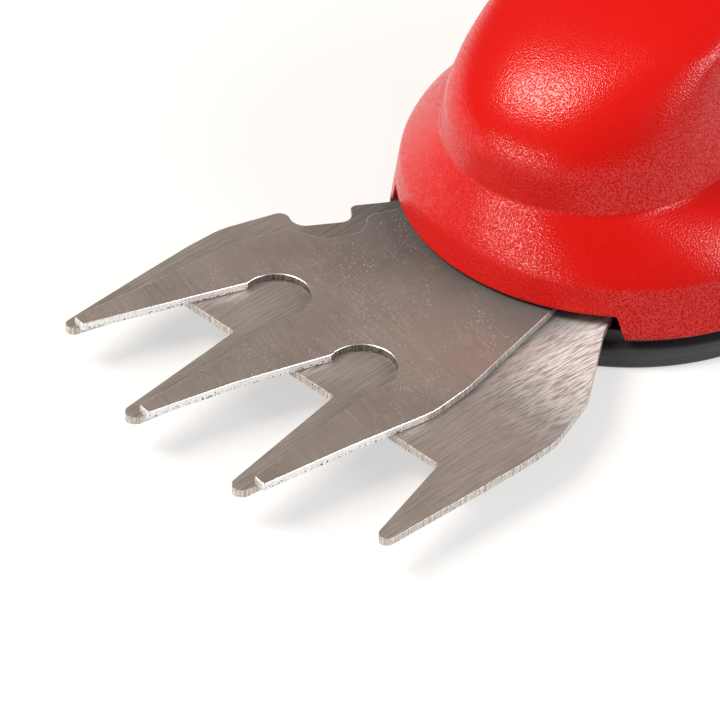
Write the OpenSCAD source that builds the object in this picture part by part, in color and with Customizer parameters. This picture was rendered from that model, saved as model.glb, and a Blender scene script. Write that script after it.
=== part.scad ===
// Cordless grass shears.
// Millimetres. +X points the way the teeth point, +Y to the tool's left, +Z up.
// The origin is on the underside of the base, on the crank's axis at the centre of the head.

/* [Base] */
// Radius of the base at its rim
base_r = 51; // [50.2:0.2:53.8]
// Height of the blade seat above the ground
base_h = 9.1; // [8.6:0.1:11]
// Height of the rim
rim_h = 3.3; // [2.8:0.1:4]
// Height of the lip's upper edge
lip_h = 5.8; // [5:0.1:6.4]
// How far the lip stands out past the rim
lip_out = 0.5; // [0.2:0.1:1]
// Thickness of the base's floor under its pockets
base_floor = 3.6; // [3.4:0.1:4.4]

/* [Blades] */
// Thickness of each blade
blade_t = 1.9; // [1.6:0.1:2.2]
// Running gap between the blades, and between the blade and its washer
blade_gap = 0.05; // [0.04:0.01:0.08]
// How far the lower blade's sides stand out past the base's rim
low_overhang = 0.4; // [0:0.1:1.4]
// Forward reach of the outer lower teeth
low_outer_x = 123.3; // [118:0.5:128]
// Forward reach of the inner lower teeth
low_inner_x = 134.5; // [130:0.5:139]
// Forward edge of the lower blade's body, at the foot of the teeth
low_root_x = 98.2; // [94:0.5:102]
// Distance of the inner lower teeth from the centre line
low_tooth_y = 16.3; // [15.5:0.1:17]
// Half width of a lower tooth at its tip
low_tip = 2; // [1.6:0.1:2.4]
// Forward reach of the middle upper tooth
up_mid_x = 132.6; // [129:0.5:136]
// Forward reach of the side upper teeth
up_side_x = 126.8; // [123:0.5:130]
// Distance of the side upper teeth from the centre line, blade in the middle
up_tooth_y = 33; // [32:0.2:34]
// Half width of an upper tooth at its tip
up_tip = 1.6; // [1.3:0.1:2]
// Radius of the round foot of each upper gap
gullet_r = 7.6; // [7:0.1:8]
// Centre of the round foot of each upper gap, along X
gullet_x = 87; // [85:0.5:90]
// Centre of the round foot of each upper gap, along Y
gullet_y = 15.4; // [15:0.1:16]
// Radius of the round notch in the right edge of both blades
notch_r = 6.8; // [6:0.1:7.4]
// Place of the blades' pivot along X
pivot_x = 26; // [25:0.5:28]
// Swing of the upper blade to each side, in degrees
swing = 7.5; // [6:0.25:8]

/* [Hood] */
// How far the hood's lower edge stands out past the base's rim
hood_overhang = 0.2; // [0:0.1:1]
// Wall of the housing
wall = 2.5; // [2.2:0.1:2.8]
// Gap between the base's lip and the hood's lower edge
groove_h = 2.3; // [1.8:0.1:2.8]
// Clear height of the blade slot over the upper blade
slot_clear = 0.9; // [0.6:0.1:1.6]
// Half angle of the blade slot, in degrees
slot_half = 43; // [40:0.5:46]
// Height of the hood's band over the blade slot
band_h = 6.2; // [5:0.2:8]
// Radius of the crease between the shoulder and the tower
crease_r = 33; // [32:0.2:34.4]
// Centre of the crease along X
crease_x = 11.5; // [10.5:0.1:12.5]
// Height of the crease above the ground
crease_z = 34; // [33:0.2:36]

/* [Tower] */
// Foremost point of the tower along X
tower_x = 44.3; // [43.3:0.1:45.3]
// Height of the tower's foremost point
tower_z = 40; // [38:0.5:43]
// Length of the tower's back from its foremost point to the handle
tower_len = 115.3; // [111.3:0.5:121.3]
// Rise of the tower's back above its foremost point
tower_rise = 40; // [39:0.5:46]
// Half width of the tower at its foremost point
tower_half_w = 31.8; // [30.8:0.1:32.8]
// Rear wall of the tower at its foot, along X
tower_rear_x = -44; // [-48:0.5:-43]

/* [Handle] */
// Length of the handle behind the tower
handle_len = 125; // [122:1:140]
// Height of the handle at the tower
neck_h = 36; // [34:0.5:40]
// Width of the handle at the tower
neck_w = 40; // [37:0.5:44]
// Height of the handle at the palm
palm_h = 45.2; // [44.4:0.2:50]
// Width of the handle at the palm
palm_w = 35.6; // [34:0.2:40]
// Thickness of the soft grip
grip_t = 1.3; // [0.8:0.1:1.8]

/* [Gears] */
// Tooth size of the motor's stage, as pitch diameter over teeth
fine_module = 0.8; // [0.78:0.01:0.82]
// Tooth size of the crank's stage, as pitch diameter over teeth
coarse_module = 0.9; // [0.88:0.01:0.92]
// Teeth of the crank gear, an even number that is not a multiple of four
crank_teeth = 42; // [42:4:42]
// Teeth of the idler's small gear, a multiple of four
small_teeth = 12; // [12:4:12]
// Teeth of the idler's large gear
big_teeth = 24; // [24:2:24]
// Teeth of the motor's pinion, an even number
pinion_teeth = 8; // [8:2:8]
// Face width of the crank gear
crank_face = 5; // [4:0.25:5.5]
// Face width of the idler's large gear
big_face = 4.5; // [4:0.25:5]
// Thickness of the gear case's roof
roof_t = 3.5; // [3:0.1:4]
// Wall of the gear case
case_wall = 2.2; // [1.8:0.1:2.4]
// Radius of the crank's shaft
shaft_r = 3; // [2.6:0.1:3.2]
// Radius of the crank pin
pin_r = 2; // [1.8:0.1:2.2]
// Outer radius of the roller on the crank pin
roller_r = 3.5; // [3.2:0.1:3.8]
// Radius of the idler's axle
axle_r = 2; // [1.6:0.1:2.2]

/* [Motor] */
// Radius of the motor's can
motor_r = 12.2; // [11.8:0.1:12.4]
// Length of the motor's can
motor_len = 29; // [26:0.5:29.5]
// Radius of the motor's shaft
motor_shaft_r = 1; // [0.9:0.05:1.15]

/* [Controls] */
// Half width of the trigger
trigger_half_w = 6.7; // [6:0.1:7]
// Length of the trigger behind its pin
trigger_len = 30; // [28:0.5:31]
// Angle that the trigger turns when squeezed, in degrees
trigger_turn = 8; // [6:0.5:8.5]
// Radius of the trigger's pin
trigger_pin_r = 1.5; // [1.2:0.1:1.7]
// Side of the lock-off button
lock_side = 11.4; // [10:0.2:12]
// How far the lock-off button is pressed
lock_travel = 2.5; // [2:0.1:2.6]

/* [Battery] */
// Diameter of a battery cell
cell_d = 18.4; // [18:0.1:18.5]
// Length of a battery cell
cell_len = 65; // [63:0.5:65.5]
// Wall of the cell holder
holder_wall = 1.4; // [1.2:0.1:1.6]

/* [Fits] */
// Radial clearance of a turning fit
run_fit = 0.04; // [0.02:0.01:0.08]
// Clearance between pieces that move past each other
move_gap = 0.3; // [0.25:0.05:0.4]
// Clearance of a piece that seats in another
seat_gap = 0.2; // [0.15:0.05:0.3]
// Slot room beside the roller, for the even swing that stands for the crank's sine
slot_room = 0.85; // [0.8:0.05:1]
// Tooth thickness taken off each gear for backlash
backlash = 0.12; // [0.1:0.01:0.16]

/* [Hidden] */
$fn = 64;
eps = 0.01;

// Colours, as the object shows them
red = "#d8201f";
black = "#232325";
steel = "#8b8078";
grey = "#55565a";
brass = "#b5892f";
copper = "#b46a3c";
nylon = "#d9d4c6";

// Heights of the blade set and the drive, from the ground up
low_top = base_h + blade_t;
up_z = low_top + blade_gap;
up_top = up_z + blade_t;
washer_z = up_top + blade_gap;
washer_t = 0.5;
bolt_head_z = washer_z + washer_t;
bolt_head_h = 2.8;
gear_z = bolt_head_z + bolt_head_h + 0.7;
gear_top = gear_z + crank_face;
big_z = gear_top + 0.8;
big_top = big_z + big_face;
roof_z = big_top + 2;
roof_top = roof_z + roof_t;
motor_top = roof_top + motor_len;

// Hood and lower blade keep to the base's width
hood_r = base_r + hood_overhang;
low_half_w = base_r + low_overhang;

// Places of the drive's axes along X
crank_throw = (pivot_x) * tan(swing);
idler_x = -(crank_teeth + small_teeth) * coarse_module / 2;
motor_x = idler_x + (big_teeth + pinion_teeth) * fine_module / 2;

// Blade set
bolt_r = 4;
shoulder_r = 5;
washer_r = 8;
bolt_head_r = 7.4;
nut_across = 12;
nut_h = 4;
nut_floor = 0.6;
blade_screw_x = 6;
blade_screw_y = 22;
blade_screw_r = 2;
blade_screw_head_r = 4;

// Gear case lugs and screws
lug_x = -12;
lug_y = 32;
lug_r = 5;
rear_lug_x = -39;
lug_top = gear_top + 2;
boss_inset = 4.3;
boss_ring_r = hood_r - wall - boss_inset;
boss_angle = 133;
hood_boss_r = 4;
screw_r = 1.6;
screw_head_r = 3.6;
screw_head_h = 2.2;
screw_bite = 9;
screw_spots = [
  [lug_x, lug_y], [lug_x, -lug_y], [rear_lug_x, 0],
  [boss_ring_r * cos(boss_angle), boss_ring_r * sin(boss_angle)],
  [boss_ring_r * cos(boss_angle), -boss_ring_r * sin(boss_angle)]
];

// Hood heights
band_draft = 1.6;
hood_z = lip_h + groove_h;
slot_z = up_top + slot_clear;
band_top = slot_z + band_h;

// Handle frame: its front face is where the tower ends
handle_x = tower_x - tower_len;
handle_top = tower_z + tower_rise;
handle_zc = handle_top - neck_h / 2;

// Controls
trigger_x = handle_x - 9;
trigger_z = handle_zc - 11.5;
switch_x = trigger_x - 6;
switch_len = 26;
switch_z = trigger_z + 5.5;
switch_h = 13;
switch_half_w = 6.5;
switch_pin_r = 1.4;
lock_x = handle_x - 17;
lock_flange_z = handle_zc + 10.6;
lock_flange_t = 1.7;
lock_flange_side = lock_side + 3.4;
lock_slot_half = lock_side / 2 + move_gap;

// Battery
cell_setback = 51.5;
cell_x = handle_x - cell_setback;
cell_pitch = cell_d + 0.4;
cell_zc = handle_zc - 2.2;
socket_r = 6;
tail_reach = 9;
grip_lift = 0.2;

function clamp01(s) = min(1, max(0, s));
function smooth(s) = let (k = clamp01(s)) k * k * (3 - 2 * k);
function mix(a, b, s) = a + (b - a) * s;

// Gear outlines.
// Angle that an involute has turned at radius r, from base radius rb.
function involute_turn(rb, r) = let (a = acos(min(1, rb / r))) tan(a) * 180 / PI - a;
// Half angle of a tooth at radius r: n teeth, size m, outline shifted out by x tooth sizes.
function tooth_half(n, m, x, r) =
  let (rp = n * m / 2, rb = rp * cos(20))
  90 / n + 2 * x * tan(20) * 180 / PI / n - backlash / 2 / rp * 90 / PI
    + involute_turn(rb, rp) - involute_turn(rb, max(r, rb));
function gear_tip(n, m, x) = n * m / 2 + m * (0.85 + x);
function gear_root(n, m, x) = n * m / 2 - m * (1.15 - x);
function polar(r, a) = [r * cos(a), r * sin(a)];

module gear_outline(n, m, x, turn) {
  flank_steps = 3;
  tip = gear_tip(n, m, x);
  root = gear_root(n, m, x);
  start = max(root, n * m / 2 * cos(20));
  flank = [for (i = [0 : flank_steps]) mix(start, tip, i / flank_steps)];
  radii = root < start - eps ? concat([root], flank) : flank;
  last = len(radii) - 1;
  polygon([
    for (k = [0 : n - 1], side = [-1, 1], i = [0 : last])
      let (r = radii[side < 0 ? i : last - i])
      polar(r, turn + k * 360 / n + side * tooth_half(n, m, x, r))
  ]);
}
coarse_shift = 0.25;
fine_shift = 0.4;

// Straight solid between two heights
module between(z0, z1) {
  translate([0, 0, z0])
    linear_extrude(z1 - z0)
      children();
}

// Round bar along Z at a place
module post(x, y, r, z0, z1) {
  translate([x, y, z0])
    cylinder(r = r, h = z1 - z0);
}

// Round bar along Y at a place
module cross_bar(x, z, r, y0, y1) {
  translate([x, y1, z])
    rotate([90, 0, 0])
      cylinder(r = r, h = y1 - y0);
}

// Two circles on the X axis and the straight sides that touch both
module case_outline(r1, x2, r2) {
  lean = acos((r1 - r2) / abs(x2));
  circle(r1);
  translate([x2, 0])
    circle(r2);
  polygon([
    polar(r1, 180 - lean), polar(r1, 180 + lean),
    [x2, 0] + polar(r2, 180 + lean), [x2, 0] + polar(r2, 180 - lean)
  ]);
}

// Base
module base_plate() {
  // Twice the gap, because the flats of the hood's faceted inside come closer than its corners
  seat_r = hood_r - wall - 2 * seat_gap;
  chamfer = 0.8;
  pocket_r = seat_r - 3;
  color(black)
    difference() {
      union() {
        rotate_extrude()
          polygon([
            [0, 0], [base_r - chamfer, 0], [base_r, chamfer], [base_r, rim_h],
            [base_r + lip_out, rim_h + lip_out], [base_r + lip_out, lip_h - lip_out], [base_r, lip_h],
            [seat_r, lip_h], [seat_r, base_h], [0, base_h]
          ]);
        post(idler_x, 0, axle_r + 3, base_h - eps, gear_z - move_gap);
      }
      // Pockets between ribs behind the blades
      difference() {
        between(base_floor, base_h + 1)
          intersection() {
            circle(pocket_r);
            translate([-2 * pocket_r - 14, -pocket_r])
              square([2 * pocket_r, 2 * pocket_r]);
          }
        post(idler_x, 0, axle_r + 3, 0, base_h + 1);
        for (s = screw_spots)
          post(s[0], s[1], lug_r + 0.6, 0, base_h + 1);
        for (a = [-60 : 30 : 60])
          rotate([0, 0, 180 + a])
            translate([0, -0.9, 0])
              cube([2 * pocket_r, 1.8, base_h + 1]);
      }
      post(idler_x, 0, axle_r, base_floor + 1, gear_z);
      post(pivot_x, 0, bolt_r, 0, base_h + 1);
      translate([pivot_x, 0, -1])
        cylinder(d = (nut_across + 2 * seat_gap) / cos(30), h = 1 + nut_floor + nut_h + eps, $fn = 6);
      for (s = screw_spots) {
        post(s[0], s[1], screw_r + seat_gap, -1, base_h + 1);
        post(s[0], s[1], screw_head_r + seat_gap, -1, 0.6 + screw_head_h);
      }
      for (y = [-blade_screw_y, blade_screw_y])
        post(blade_screw_x, y, blade_screw_r, 2.5, base_h + 1);
    }
}

module base_screws() {
  color(grey)
    for (s = screw_spots)
      difference() {
        union() {
          post(s[0], s[1], screw_head_r, 0.6, 0.6 + screw_head_h);
          post(s[0], s[1], screw_r, 0.6, base_h + screw_bite);
        }
        translate([s[0], s[1], 0])
          for (a = [0, 90])
            rotate([0, 0, a])
              translate([-2, -0.5, 0])
                cube([4, 1, 1.7]);
      }
}

// Blades. Outlines are drawn in plan, teeth along +X.
// One tooth: a tapered bar with a round end, from its foot to its tip.
module tooth_plan(foot, tip, foot_lo, foot_hi, tip_y, tip_half) {
  x1 = tip - tip_half;
  polygon([[foot, foot_lo], [x1, tip_y - tip_half], [x1, tip_y + tip_half], [foot, foot_hi]]);
  translate([x1, tip_y])
    circle(tip_half);
}

notch_x = 54.2;
low_notch_y = 42.2;
up_notch_y = 29.8;
up_notch_x = 61.2;

module lower_plan() {
  shoulder_x = 74;
  tail_x = -4;
  outer_y = low_half_w - 3.6;
  difference() {
    union() {
      polygon([
        [low_root_x, -low_half_w + 0.7], [low_root_x, low_half_w - 0.7],
        [shoulder_x + 8, low_half_w], [shoulder_x, low_half_w - 0.4], [shoulder_x - 6.5, low_half_w - 2.4],
        [shoulder_x - 14, low_half_w - 5.2], [hood_r - 11, 32.6], [30, 28], [8, 28], [tail_x, 16],
        [tail_x, -16], [8, -28], [30, -28], [hood_r - 11, -32.6], [shoulder_x - 14, -low_half_w + 5.2],
        [shoulder_x - 6.5, -low_half_w + 2.4], [shoulder_x, -low_half_w + 0.4], [shoulder_x + 8, -low_half_w]
      ]);
      for (s = [-1, 1])
        scale([1, s]) {
          tooth_plan(low_root_x - 2, low_outer_x, 39.2, low_half_w - 0.6, outer_y, low_tip - 0.3);
          tooth_plan(low_root_x - 2, low_inner_x, 8.4, 22, low_tooth_y, low_tip);
        }
    }
    translate([notch_x, -low_notch_y])
      circle(notch_r);
    translate([notch_x - 1, -low_half_w])
      square([notch_r + 1 - eps, low_half_w - low_notch_y]);
  }
}

module lower_blade() {
  color(steel)
    difference() {
      between(base_h, low_top)
        lower_plan();
      post(pivot_x, 0, bolt_r, base_h - 1, low_top + 1);
      for (y = [-blade_screw_y, blade_screw_y]) {
        post(blade_screw_x, y, blade_screw_r, base_h - 1, low_top + 1);
        translate([blade_screw_x, y, low_top - (blade_screw_head_r - blade_screw_r)])
          cylinder(r1 = blade_screw_r, r2 = blade_screw_head_r, h = blade_screw_head_r - blade_screw_r);
      }
    }
}

module blade_screws() {
  cone_h = blade_screw_head_r - blade_screw_r;
  color(grey)
    for (y = [-blade_screw_y, blade_screw_y])
      difference() {
        translate([blade_screw_x, y, low_top - cone_h])
          union() {
            cylinder(r1 = blade_screw_r, r2 = blade_screw_head_r, h = cone_h);
            translate([0, 0, -5.5])
              cylinder(r = blade_screw_r, h = 5.5 + eps);
          }
        translate([blade_screw_x, y, low_top - 1])
          cylinder(r = 1.4, h = 2, $fn = 6);
      }
}

// The upper blade in the middle of its swing
module upper_plan() {
  side_foot_x = 89;
  side_w = 36.2;
  difference() {
    union() {
      polygon([
        [up_mid_x, -up_tip], [up_mid_x, up_tip], [111, 4.1], [gullet_x + 3, gullet_y - gullet_r - 0.8],
        [gullet_x, gullet_y - gullet_r + 1], [gullet_x, gullet_y + gullet_r - 1],
        [side_foot_x, gullet_y + gullet_r + 0.6],
        [up_side_x, up_tooth_y - up_tip], [up_side_x, up_tooth_y + up_tip], [118, 34.8],
        [side_foot_x, side_w - 0.3], [83, side_w], [78, side_w - 0.8], [72.8, 34], [57.8, 29], [41.5, 23.6],
        [24, 15.5], [8, 11], [-8, 10], [-12, 6.5],
        [-12, -6.5], [-8, -10], [8, -11], [24, -15.5], [41.5, -23.6], [57.8, -29], [72.8, -34],
        [78, -side_w + 0.8], [83, -side_w], [side_foot_x, -side_w + 0.3],
        [118, -34.8], [up_side_x, -up_tooth_y - up_tip], [up_side_x, -up_tooth_y + up_tip],
        [side_foot_x, -gullet_y - gullet_r - 0.6], [gullet_x, -gullet_y - gullet_r + 1],
        [gullet_x, -gullet_y + gullet_r - 1], [gullet_x + 3, -gullet_y + gullet_r + 0.8], [111, -4.1]
      ]);
    }
    for (s = [-1, 1])
      translate([gullet_x, s * gullet_y])
        circle(gullet_r);
    translate([up_notch_x, -up_notch_y])
      circle(notch_r);
    translate([up_notch_x, -up_notch_y - 8])
      square([notch_r - eps, 8]);
  }
}

module upper_blade() {
  slot_half_w = roller_r + slot_room;
  slot_reach = crank_throw + 0.5;
  color(steel)
    translate([pivot_x, 0, 0])
      rotate([0, 0, -swing])
        translate([-pivot_x, 0, 0])
          difference() {
            between(up_z, up_top)
              upper_plan();
            post(pivot_x, 0, shoulder_r + run_fit, up_z - 1, up_top + 1);
            between(up_z - 1, up_top + 1)
              square([2 * slot_reach, 2 * slot_half_w - eps], center = true);
            for (x = [-slot_reach, slot_reach])
              post(x, 0, slot_half_w, up_z - 1, up_top + 1);
          }
}

module pivot_bolt() {
  color(grey)
    difference() {
      union() {
        post(pivot_x, 0, bolt_r, nut_floor + 0.4, low_top);
        post(pivot_x, 0, shoulder_r, low_top, bolt_head_z + eps);
        post(pivot_x, 0, bolt_head_r, bolt_head_z, bolt_head_z + bolt_head_h);
      }
      translate([pivot_x, 0, bolt_head_z + 0.6])
        cylinder(r = 3.4, h = bolt_head_h, $fn = 6);
    }
}

module pivot_washer() {
  color(steel)
    difference() {
      post(pivot_x, 0, washer_r, washer_z, washer_z + washer_t);
      post(pivot_x, 0, shoulder_r, washer_z - 1, washer_z + 2);
    }
}

module pivot_nut() {
  color(grey)
    difference() {
      translate([pivot_x, 0, nut_floor])
        cylinder(d = nut_across / cos(30), h = nut_h, $fn = 6);
      post(pivot_x, 0, bolt_r, -1, nut_floor + nut_h + 1);
    }
}

// Crank
hub_r = 8.6;
hub_z = up_top + 0.45;
module crank_gear() {
  web_holes = 6;
  color(nylon)
    difference() {
      union() {
        between(gear_z, gear_top)
          gear_outline(crank_teeth, coarse_module, -coarse_shift, 0);
        post(0, 0, hub_r, hub_z, gear_z + eps);
      }
      post(0, 0, shaft_r, gear_z, gear_top + 1);
      post(0, crank_throw, pin_r, hub_z - 1, gear_z - 0.4);
      for (i = [0 : web_holes - 1])
        rotate([0, 0, 30 + i * 360 / web_holes])
          post(12.8, 0, 3, hub_z - 1, gear_top + 1);
    }
}

module crank_shaft() {
  color(steel)
    post(0, 0, shaft_r, gear_z, roof_top - 1.2);
}

module crank_pin() {
  color(steel)
    post(0, crank_throw, pin_r, up_z + 0.25, gear_z - 0.4);
}

module crank_roller() {
  color(brass)
    difference() {
      post(0, crank_throw, roller_r, up_z + 0.25, hub_z - 0.1);
      post(0, crank_throw, pin_r + run_fit, up_z - 1, hub_z + 1);
    }
}

bush_r = 4.5;
bush_flange_r = 6.2;
bush_z = gear_top + move_gap;
module crank_bush() {
  color(brass)
    difference() {
      union() {
        post(0, 0, bush_flange_r, bush_z, bush_z + 1);
        post(0, 0, bush_r, bush_z, roof_top - 1);
      }
      post(0, 0, shaft_r + run_fit, 0, roof_top);
    }
}

// Idler
module idler_gear() {
  color(nylon)
    difference() {
      union() {
        translate([idler_x, 0, 0]) {
          between(gear_z, big_z + eps)
            gear_outline(small_teeth, coarse_module, coarse_shift, 180 / small_teeth);
          between(big_z, big_top)
            gear_outline(big_teeth, fine_module, -fine_shift, 0);
        }
        post(idler_x, 0, axle_r + 1.8, big_top - eps, roof_z - move_gap);
      }
      post(idler_x, 0, axle_r + run_fit, 0, roof_top);
    }
}

module idler_axle() {
  color(steel)
    post(idler_x, 0, axle_r, base_floor + 1, roof_top - 0.6);
}

// Gear case: roof over the gears, wall around them, lugs down to the base
module gear_case() {
  case_z = gear_z - 0.4;
  r1 = gear_tip(crank_teeth, coarse_module, -coarse_shift) + 1;
  r2 = gear_tip(big_teeth, fine_module, -fine_shift) + 1;
  arm_w = 5;
  color(grey)
    difference() {
      union() {
        difference() {
          union() {
            between(case_z, roof_top)
              case_outline(r1 + case_wall, idler_x, r2 + case_wall);
            for (s = [-1, 1]) {
              post(lug_x, s * lug_y, lug_r, base_h, lug_top);
              translate([lug_x - arm_w / 2, s > 0 ? 0 : -lug_y, gear_z])
                cube([arm_w, lug_y, lug_top - gear_z]);
            }
            post(rear_lug_x, 0, lug_r - 0.4, base_h, lug_top);
          }
          between(case_z - 10, roof_z)
            case_outline(r1, idler_x, r2);
        }
        post(0, 0, bush_r + 2, bush_z + 1, roof_z + eps);
      }
      post(0, 0, bush_r, 0, roof_top - 1);
      post(idler_x, 0, axle_r, 0, roof_top - 0.6);
      post(motor_x, 0, motor_boss_r, 0, roof_top + 1);
      for (s = [-1, 1])
        post(motor_x, s * motor_screw_y, motor_screw_r, 0, roof_top + 1);
      for (i = [0 : 2])
        post(screw_spots[i][0], screw_spots[i][1], screw_r, 0, base_h + screw_bite);
    }
}

// Motor
motor_boss_r = 4;
motor_screw_y = 8;
motor_screw_r = 1.25;
motor_sheet = 1;
cap_h = 2.6;
magnet_t = 1.9;
armature_r = motor_r - motor_sheet - magnet_t - 0.5;

module motor_can() {
  color(steel)
    difference() {
      union() {
        post(motor_x, 0, motor_r, roof_top, motor_top);
        post(motor_x, 0, motor_boss_r, roof_top - 2, roof_top + eps);
      }
      post(motor_x, 0, motor_r - motor_sheet, roof_top + 1.2, motor_top + 1);
      post(motor_x, 0, motor_shaft_r + run_fit, 0, motor_top);
      for (s = [-1, 1])
        post(motor_x, s * motor_screw_y, motor_screw_r, 0, roof_top + 1.2);
    }
}

module motor_magnets() {
  color(black)
    intersection() {
      difference() {
        post(motor_x, 0, motor_r - motor_sheet, roof_top + 4, motor_top - 4);
        post(motor_x, 0, motor_r - motor_sheet - magnet_t, 0, motor_top);
      }
      translate([motor_x - motor_r, -9, 0])
        cube([2 * motor_r, 18, motor_top]);
    }
}

module motor_end_cap() {
  tab_w = 3;
  tab_t = 0.8;
  tab_h = 4;
  color(nylon)
    difference() {
      union() {
        post(motor_x, 0, motor_r, motor_top, motor_top + cap_h);
        post(motor_x, 0, motor_boss_r, motor_top, motor_top + cap_h + 1.4);
        for (s = [-1, 1])
          translate([motor_x - tab_w / 2, s * motor_screw_y - tab_t / 2, motor_top])
            cube([tab_w, tab_t, cap_h + tab_h]);
      }
      post(motor_x, 0, motor_shaft_r + run_fit, motor_top - 1, motor_top + cap_h + 0.6);
    }
}

module motor_shaft() {
  color(steel)
    post(motor_x, 0, motor_shaft_r, big_z + 0.1, motor_top + cap_h + 0.3);
}

module armature() {
  slots = 5;
  stack_z = roof_top + 5;
  stack_top = motor_top - 8;
  color(copper)
    difference() {
      union() {
        between(stack_z, stack_top)
          difference() {
            translate([motor_x, 0])
              circle(armature_r);
            for (i = [0 : slots - 1])
              translate([motor_x, 0])
                rotate(i * 360 / slots)
                  translate([armature_r - 3, -0.8])
                    square([5, 1.6]);
          }
        post(motor_x, 0, 3.2, stack_top - eps, motor_top - 1);
      }
      post(motor_x, 0, motor_shaft_r, 0, motor_top + 1);
    }
}

module motor_pinion() {
  color(brass)
    difference() {
      translate([motor_x, 0, 0])
        between(big_z + 0.2, roof_z - 1)
          gear_outline(pinion_teeth, fine_module, fine_shift, 180 / pinion_teeth);
      post(motor_x, 0, motor_shaft_r, 0, motor_top);
    }
}

module motor_screws() {
  color(grey)
    for (s = [-1, 1])
      difference() {
        union() {
          post(motor_x, s * motor_screw_y, motor_screw_r + 1.1, roof_z - 1.6, roof_z);
          post(motor_x, s * motor_screw_y, motor_screw_r, roof_z - 1.6, roof_top + 1.2);
        }
        translate([motor_x - 2, s * motor_screw_y - 0.25, roof_z - 2])
          cube([4, 0.5, 1]);
      }
}

// Lofted shells: rings of points joined by quads, each quad as two triangles.
function loft_sides(rows, n, start, closed, flip) = [
  for (r = [0 : rows - 2], i = [0 : n - (closed ? 1 : 2)])
    let (
      a = start + r * n + i,
      b = start + r * n + (i + 1) % n,
      c = b + n,
      d = a + n
    )
    each flip ? [[a, c, b], [a, d, c]] : [[a, b, c], [a, c, d]]
];
// Strip of triangles between two rings of n points that start at p and q
function loft_strip(p, q, n, closed, flip) = [
  for (i = [0 : n - (closed ? 1 : 2)])
    let (a = p + i, b = p + (i + 1) % n, c = q + (i + 1) % n, d = q + i)
    each flip ? [[a, c, b], [a, d, c]] : [[a, b, c], [a, c, d]]
];
// Strip along the edge of an open loft, between point i of each outer ring and of each inner ring
function loft_edge(rows, n, i, skip, flip) = [
  for (r = [0 : rows - 2])
    let (a = r * n + i, b = a + n, c = b + skip, d = a + skip)
    each flip ? [[a, c, b], [a, d, c]] : [[a, b, c], [a, c, d]]
];

// Housing: two halves that meet on the middle plane, each one loft from the head to the tail.
// Angles of a half ring: 0 at the front or top, 180 at the rear or underside, closer where the slot ends
slot_turns = [-2.4, -1.4, -0.5, 0.5, 1.4, 2.4];
front_steps = 5;
rear_steps = 10;
ring_angles = concat(
  [for (i = [0 : front_steps]) mix(0, slot_half - 6, i / front_steps)],
  [for (t = slot_turns) slot_half + t],
  [for (i = [0 : rear_steps]) mix(slot_half + 6, 180, i / rear_steps)]
);

// An oval with its own reach to the front and to the rear
function oval_x(c, front, rear, t) = c + (cos(t) > 0 ? front : rear) * cos(t);
// Height of the hood's lower edge at angle t: raised over the blade slot, with rounded corners
function edge_z(t) = mix(hood_z, slot_z, smooth((slot_half - t) / 3 + 0.5));
// The band below the shoulder is a slight cone
function band_r(z) = hood_r - band_draft * (z - hood_z) / (band_top - hood_z);
// Rings at distance w inside the outer skin: the lower edge, and the plain band above it
function edge_ring(w) = [
  for (t = ring_angles)
    let (r = band_r(edge_z(t)) - w)
    [r * cos(t), r * sin(t), edge_z(t)]
];
function band_ring(z, w) = [for (t = ring_angles) [(band_r(z) - w) * cos(t), (band_r(z) - w) * sin(t), z]];
// Shoulder from the band, s = 0, up to the crease, s = 1: a straight slope at the front, fuller to the rear
front_fullness = 1.15;
rear_fullness = 2.4;
function fullness(t) = mix(front_fullness, rear_fullness, smooth((t - slot_half) / 70));
function shoulder_ring(s, w) =
  let (r = hood_r - band_draft)
  [
    for (t = ring_angles)
      let (
        k = pow(s, fullness(t)),
        front = mix(r, crease_r, k) - w,
        rear = mix(r, crease_x - tower_rear_x, k) - w
      )
      [oval_x(crease_x * k, front, rear, t), front * sin(t), mix(band_top, crease_z, s)]
  ];
// Tower: rings in planes that turn about a line across the tool, at the handle's front and the tower's height
function tower_ring(turn, w) =
  let (
    s = smooth(turn / 90),
    far = tower_len * tower_rise / norm([tower_rise * cos(turn), tower_len * sin(turn)]) - w,
    near = mix(tower_rear_x - handle_x, tower_rise - neck_h, s) + w,
    mid = min(mix(crease_x - handle_x, tower_rise - neck_h / 2, s), far - 0.4 * neck_h),
    half = mix(tower_half_w, neck_w / 2, sin(turn)) - w
  )
  [
    for (t = ring_angles)
      let (d = oval_x(mid, far - mid, mid - near, t))
      [handle_x + d * cos(turn), half * sin(t), tower_z + d * sin(turn)]
  ];

// Handle: height of the middle, half height and half width at even steps behind the tower
handle_line = [
  [handle_zc, neck_h / 2, neck_w / 2],
  [handle_zc - 0.8, neck_h / 2 + 0.2, palm_w / 2 - 0.3],
  [handle_zc - 1.9, palm_h / 2 - 0.6, palm_w / 2 - 0.4],
  [handle_zc - 2.4, palm_h / 2, palm_w / 2],
  [handle_zc - 2.4, palm_h / 2 - 0.3, palm_w / 2 - 0.2],
  [handle_zc - 2.2, palm_h / 2 - 1.4, palm_w / 2 - 1.2]
];
handle_spans = len(handle_line) - 1;
// Smooth curve through the rows of handle_line, d millimetres behind the tower
function line_row(i) = handle_line[min(handle_spans, max(0, i))];
function handle_row(d) =
  let (
    u = min(handle_spans - eps, max(0, d / handle_len * handle_spans)),
    i = floor(u),
    s = u - i,
    a = line_row(i - 1),
    b = line_row(i),
    c = line_row(i + 1),
    e = line_row(i + 2)
  )
  b + (c - a) * (s / 2) + (2 * a - 5 * b + 4 * c - e) * (s * s / 2) + (3 * (b - c) + e - a) * (s * s * s / 2);

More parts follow.
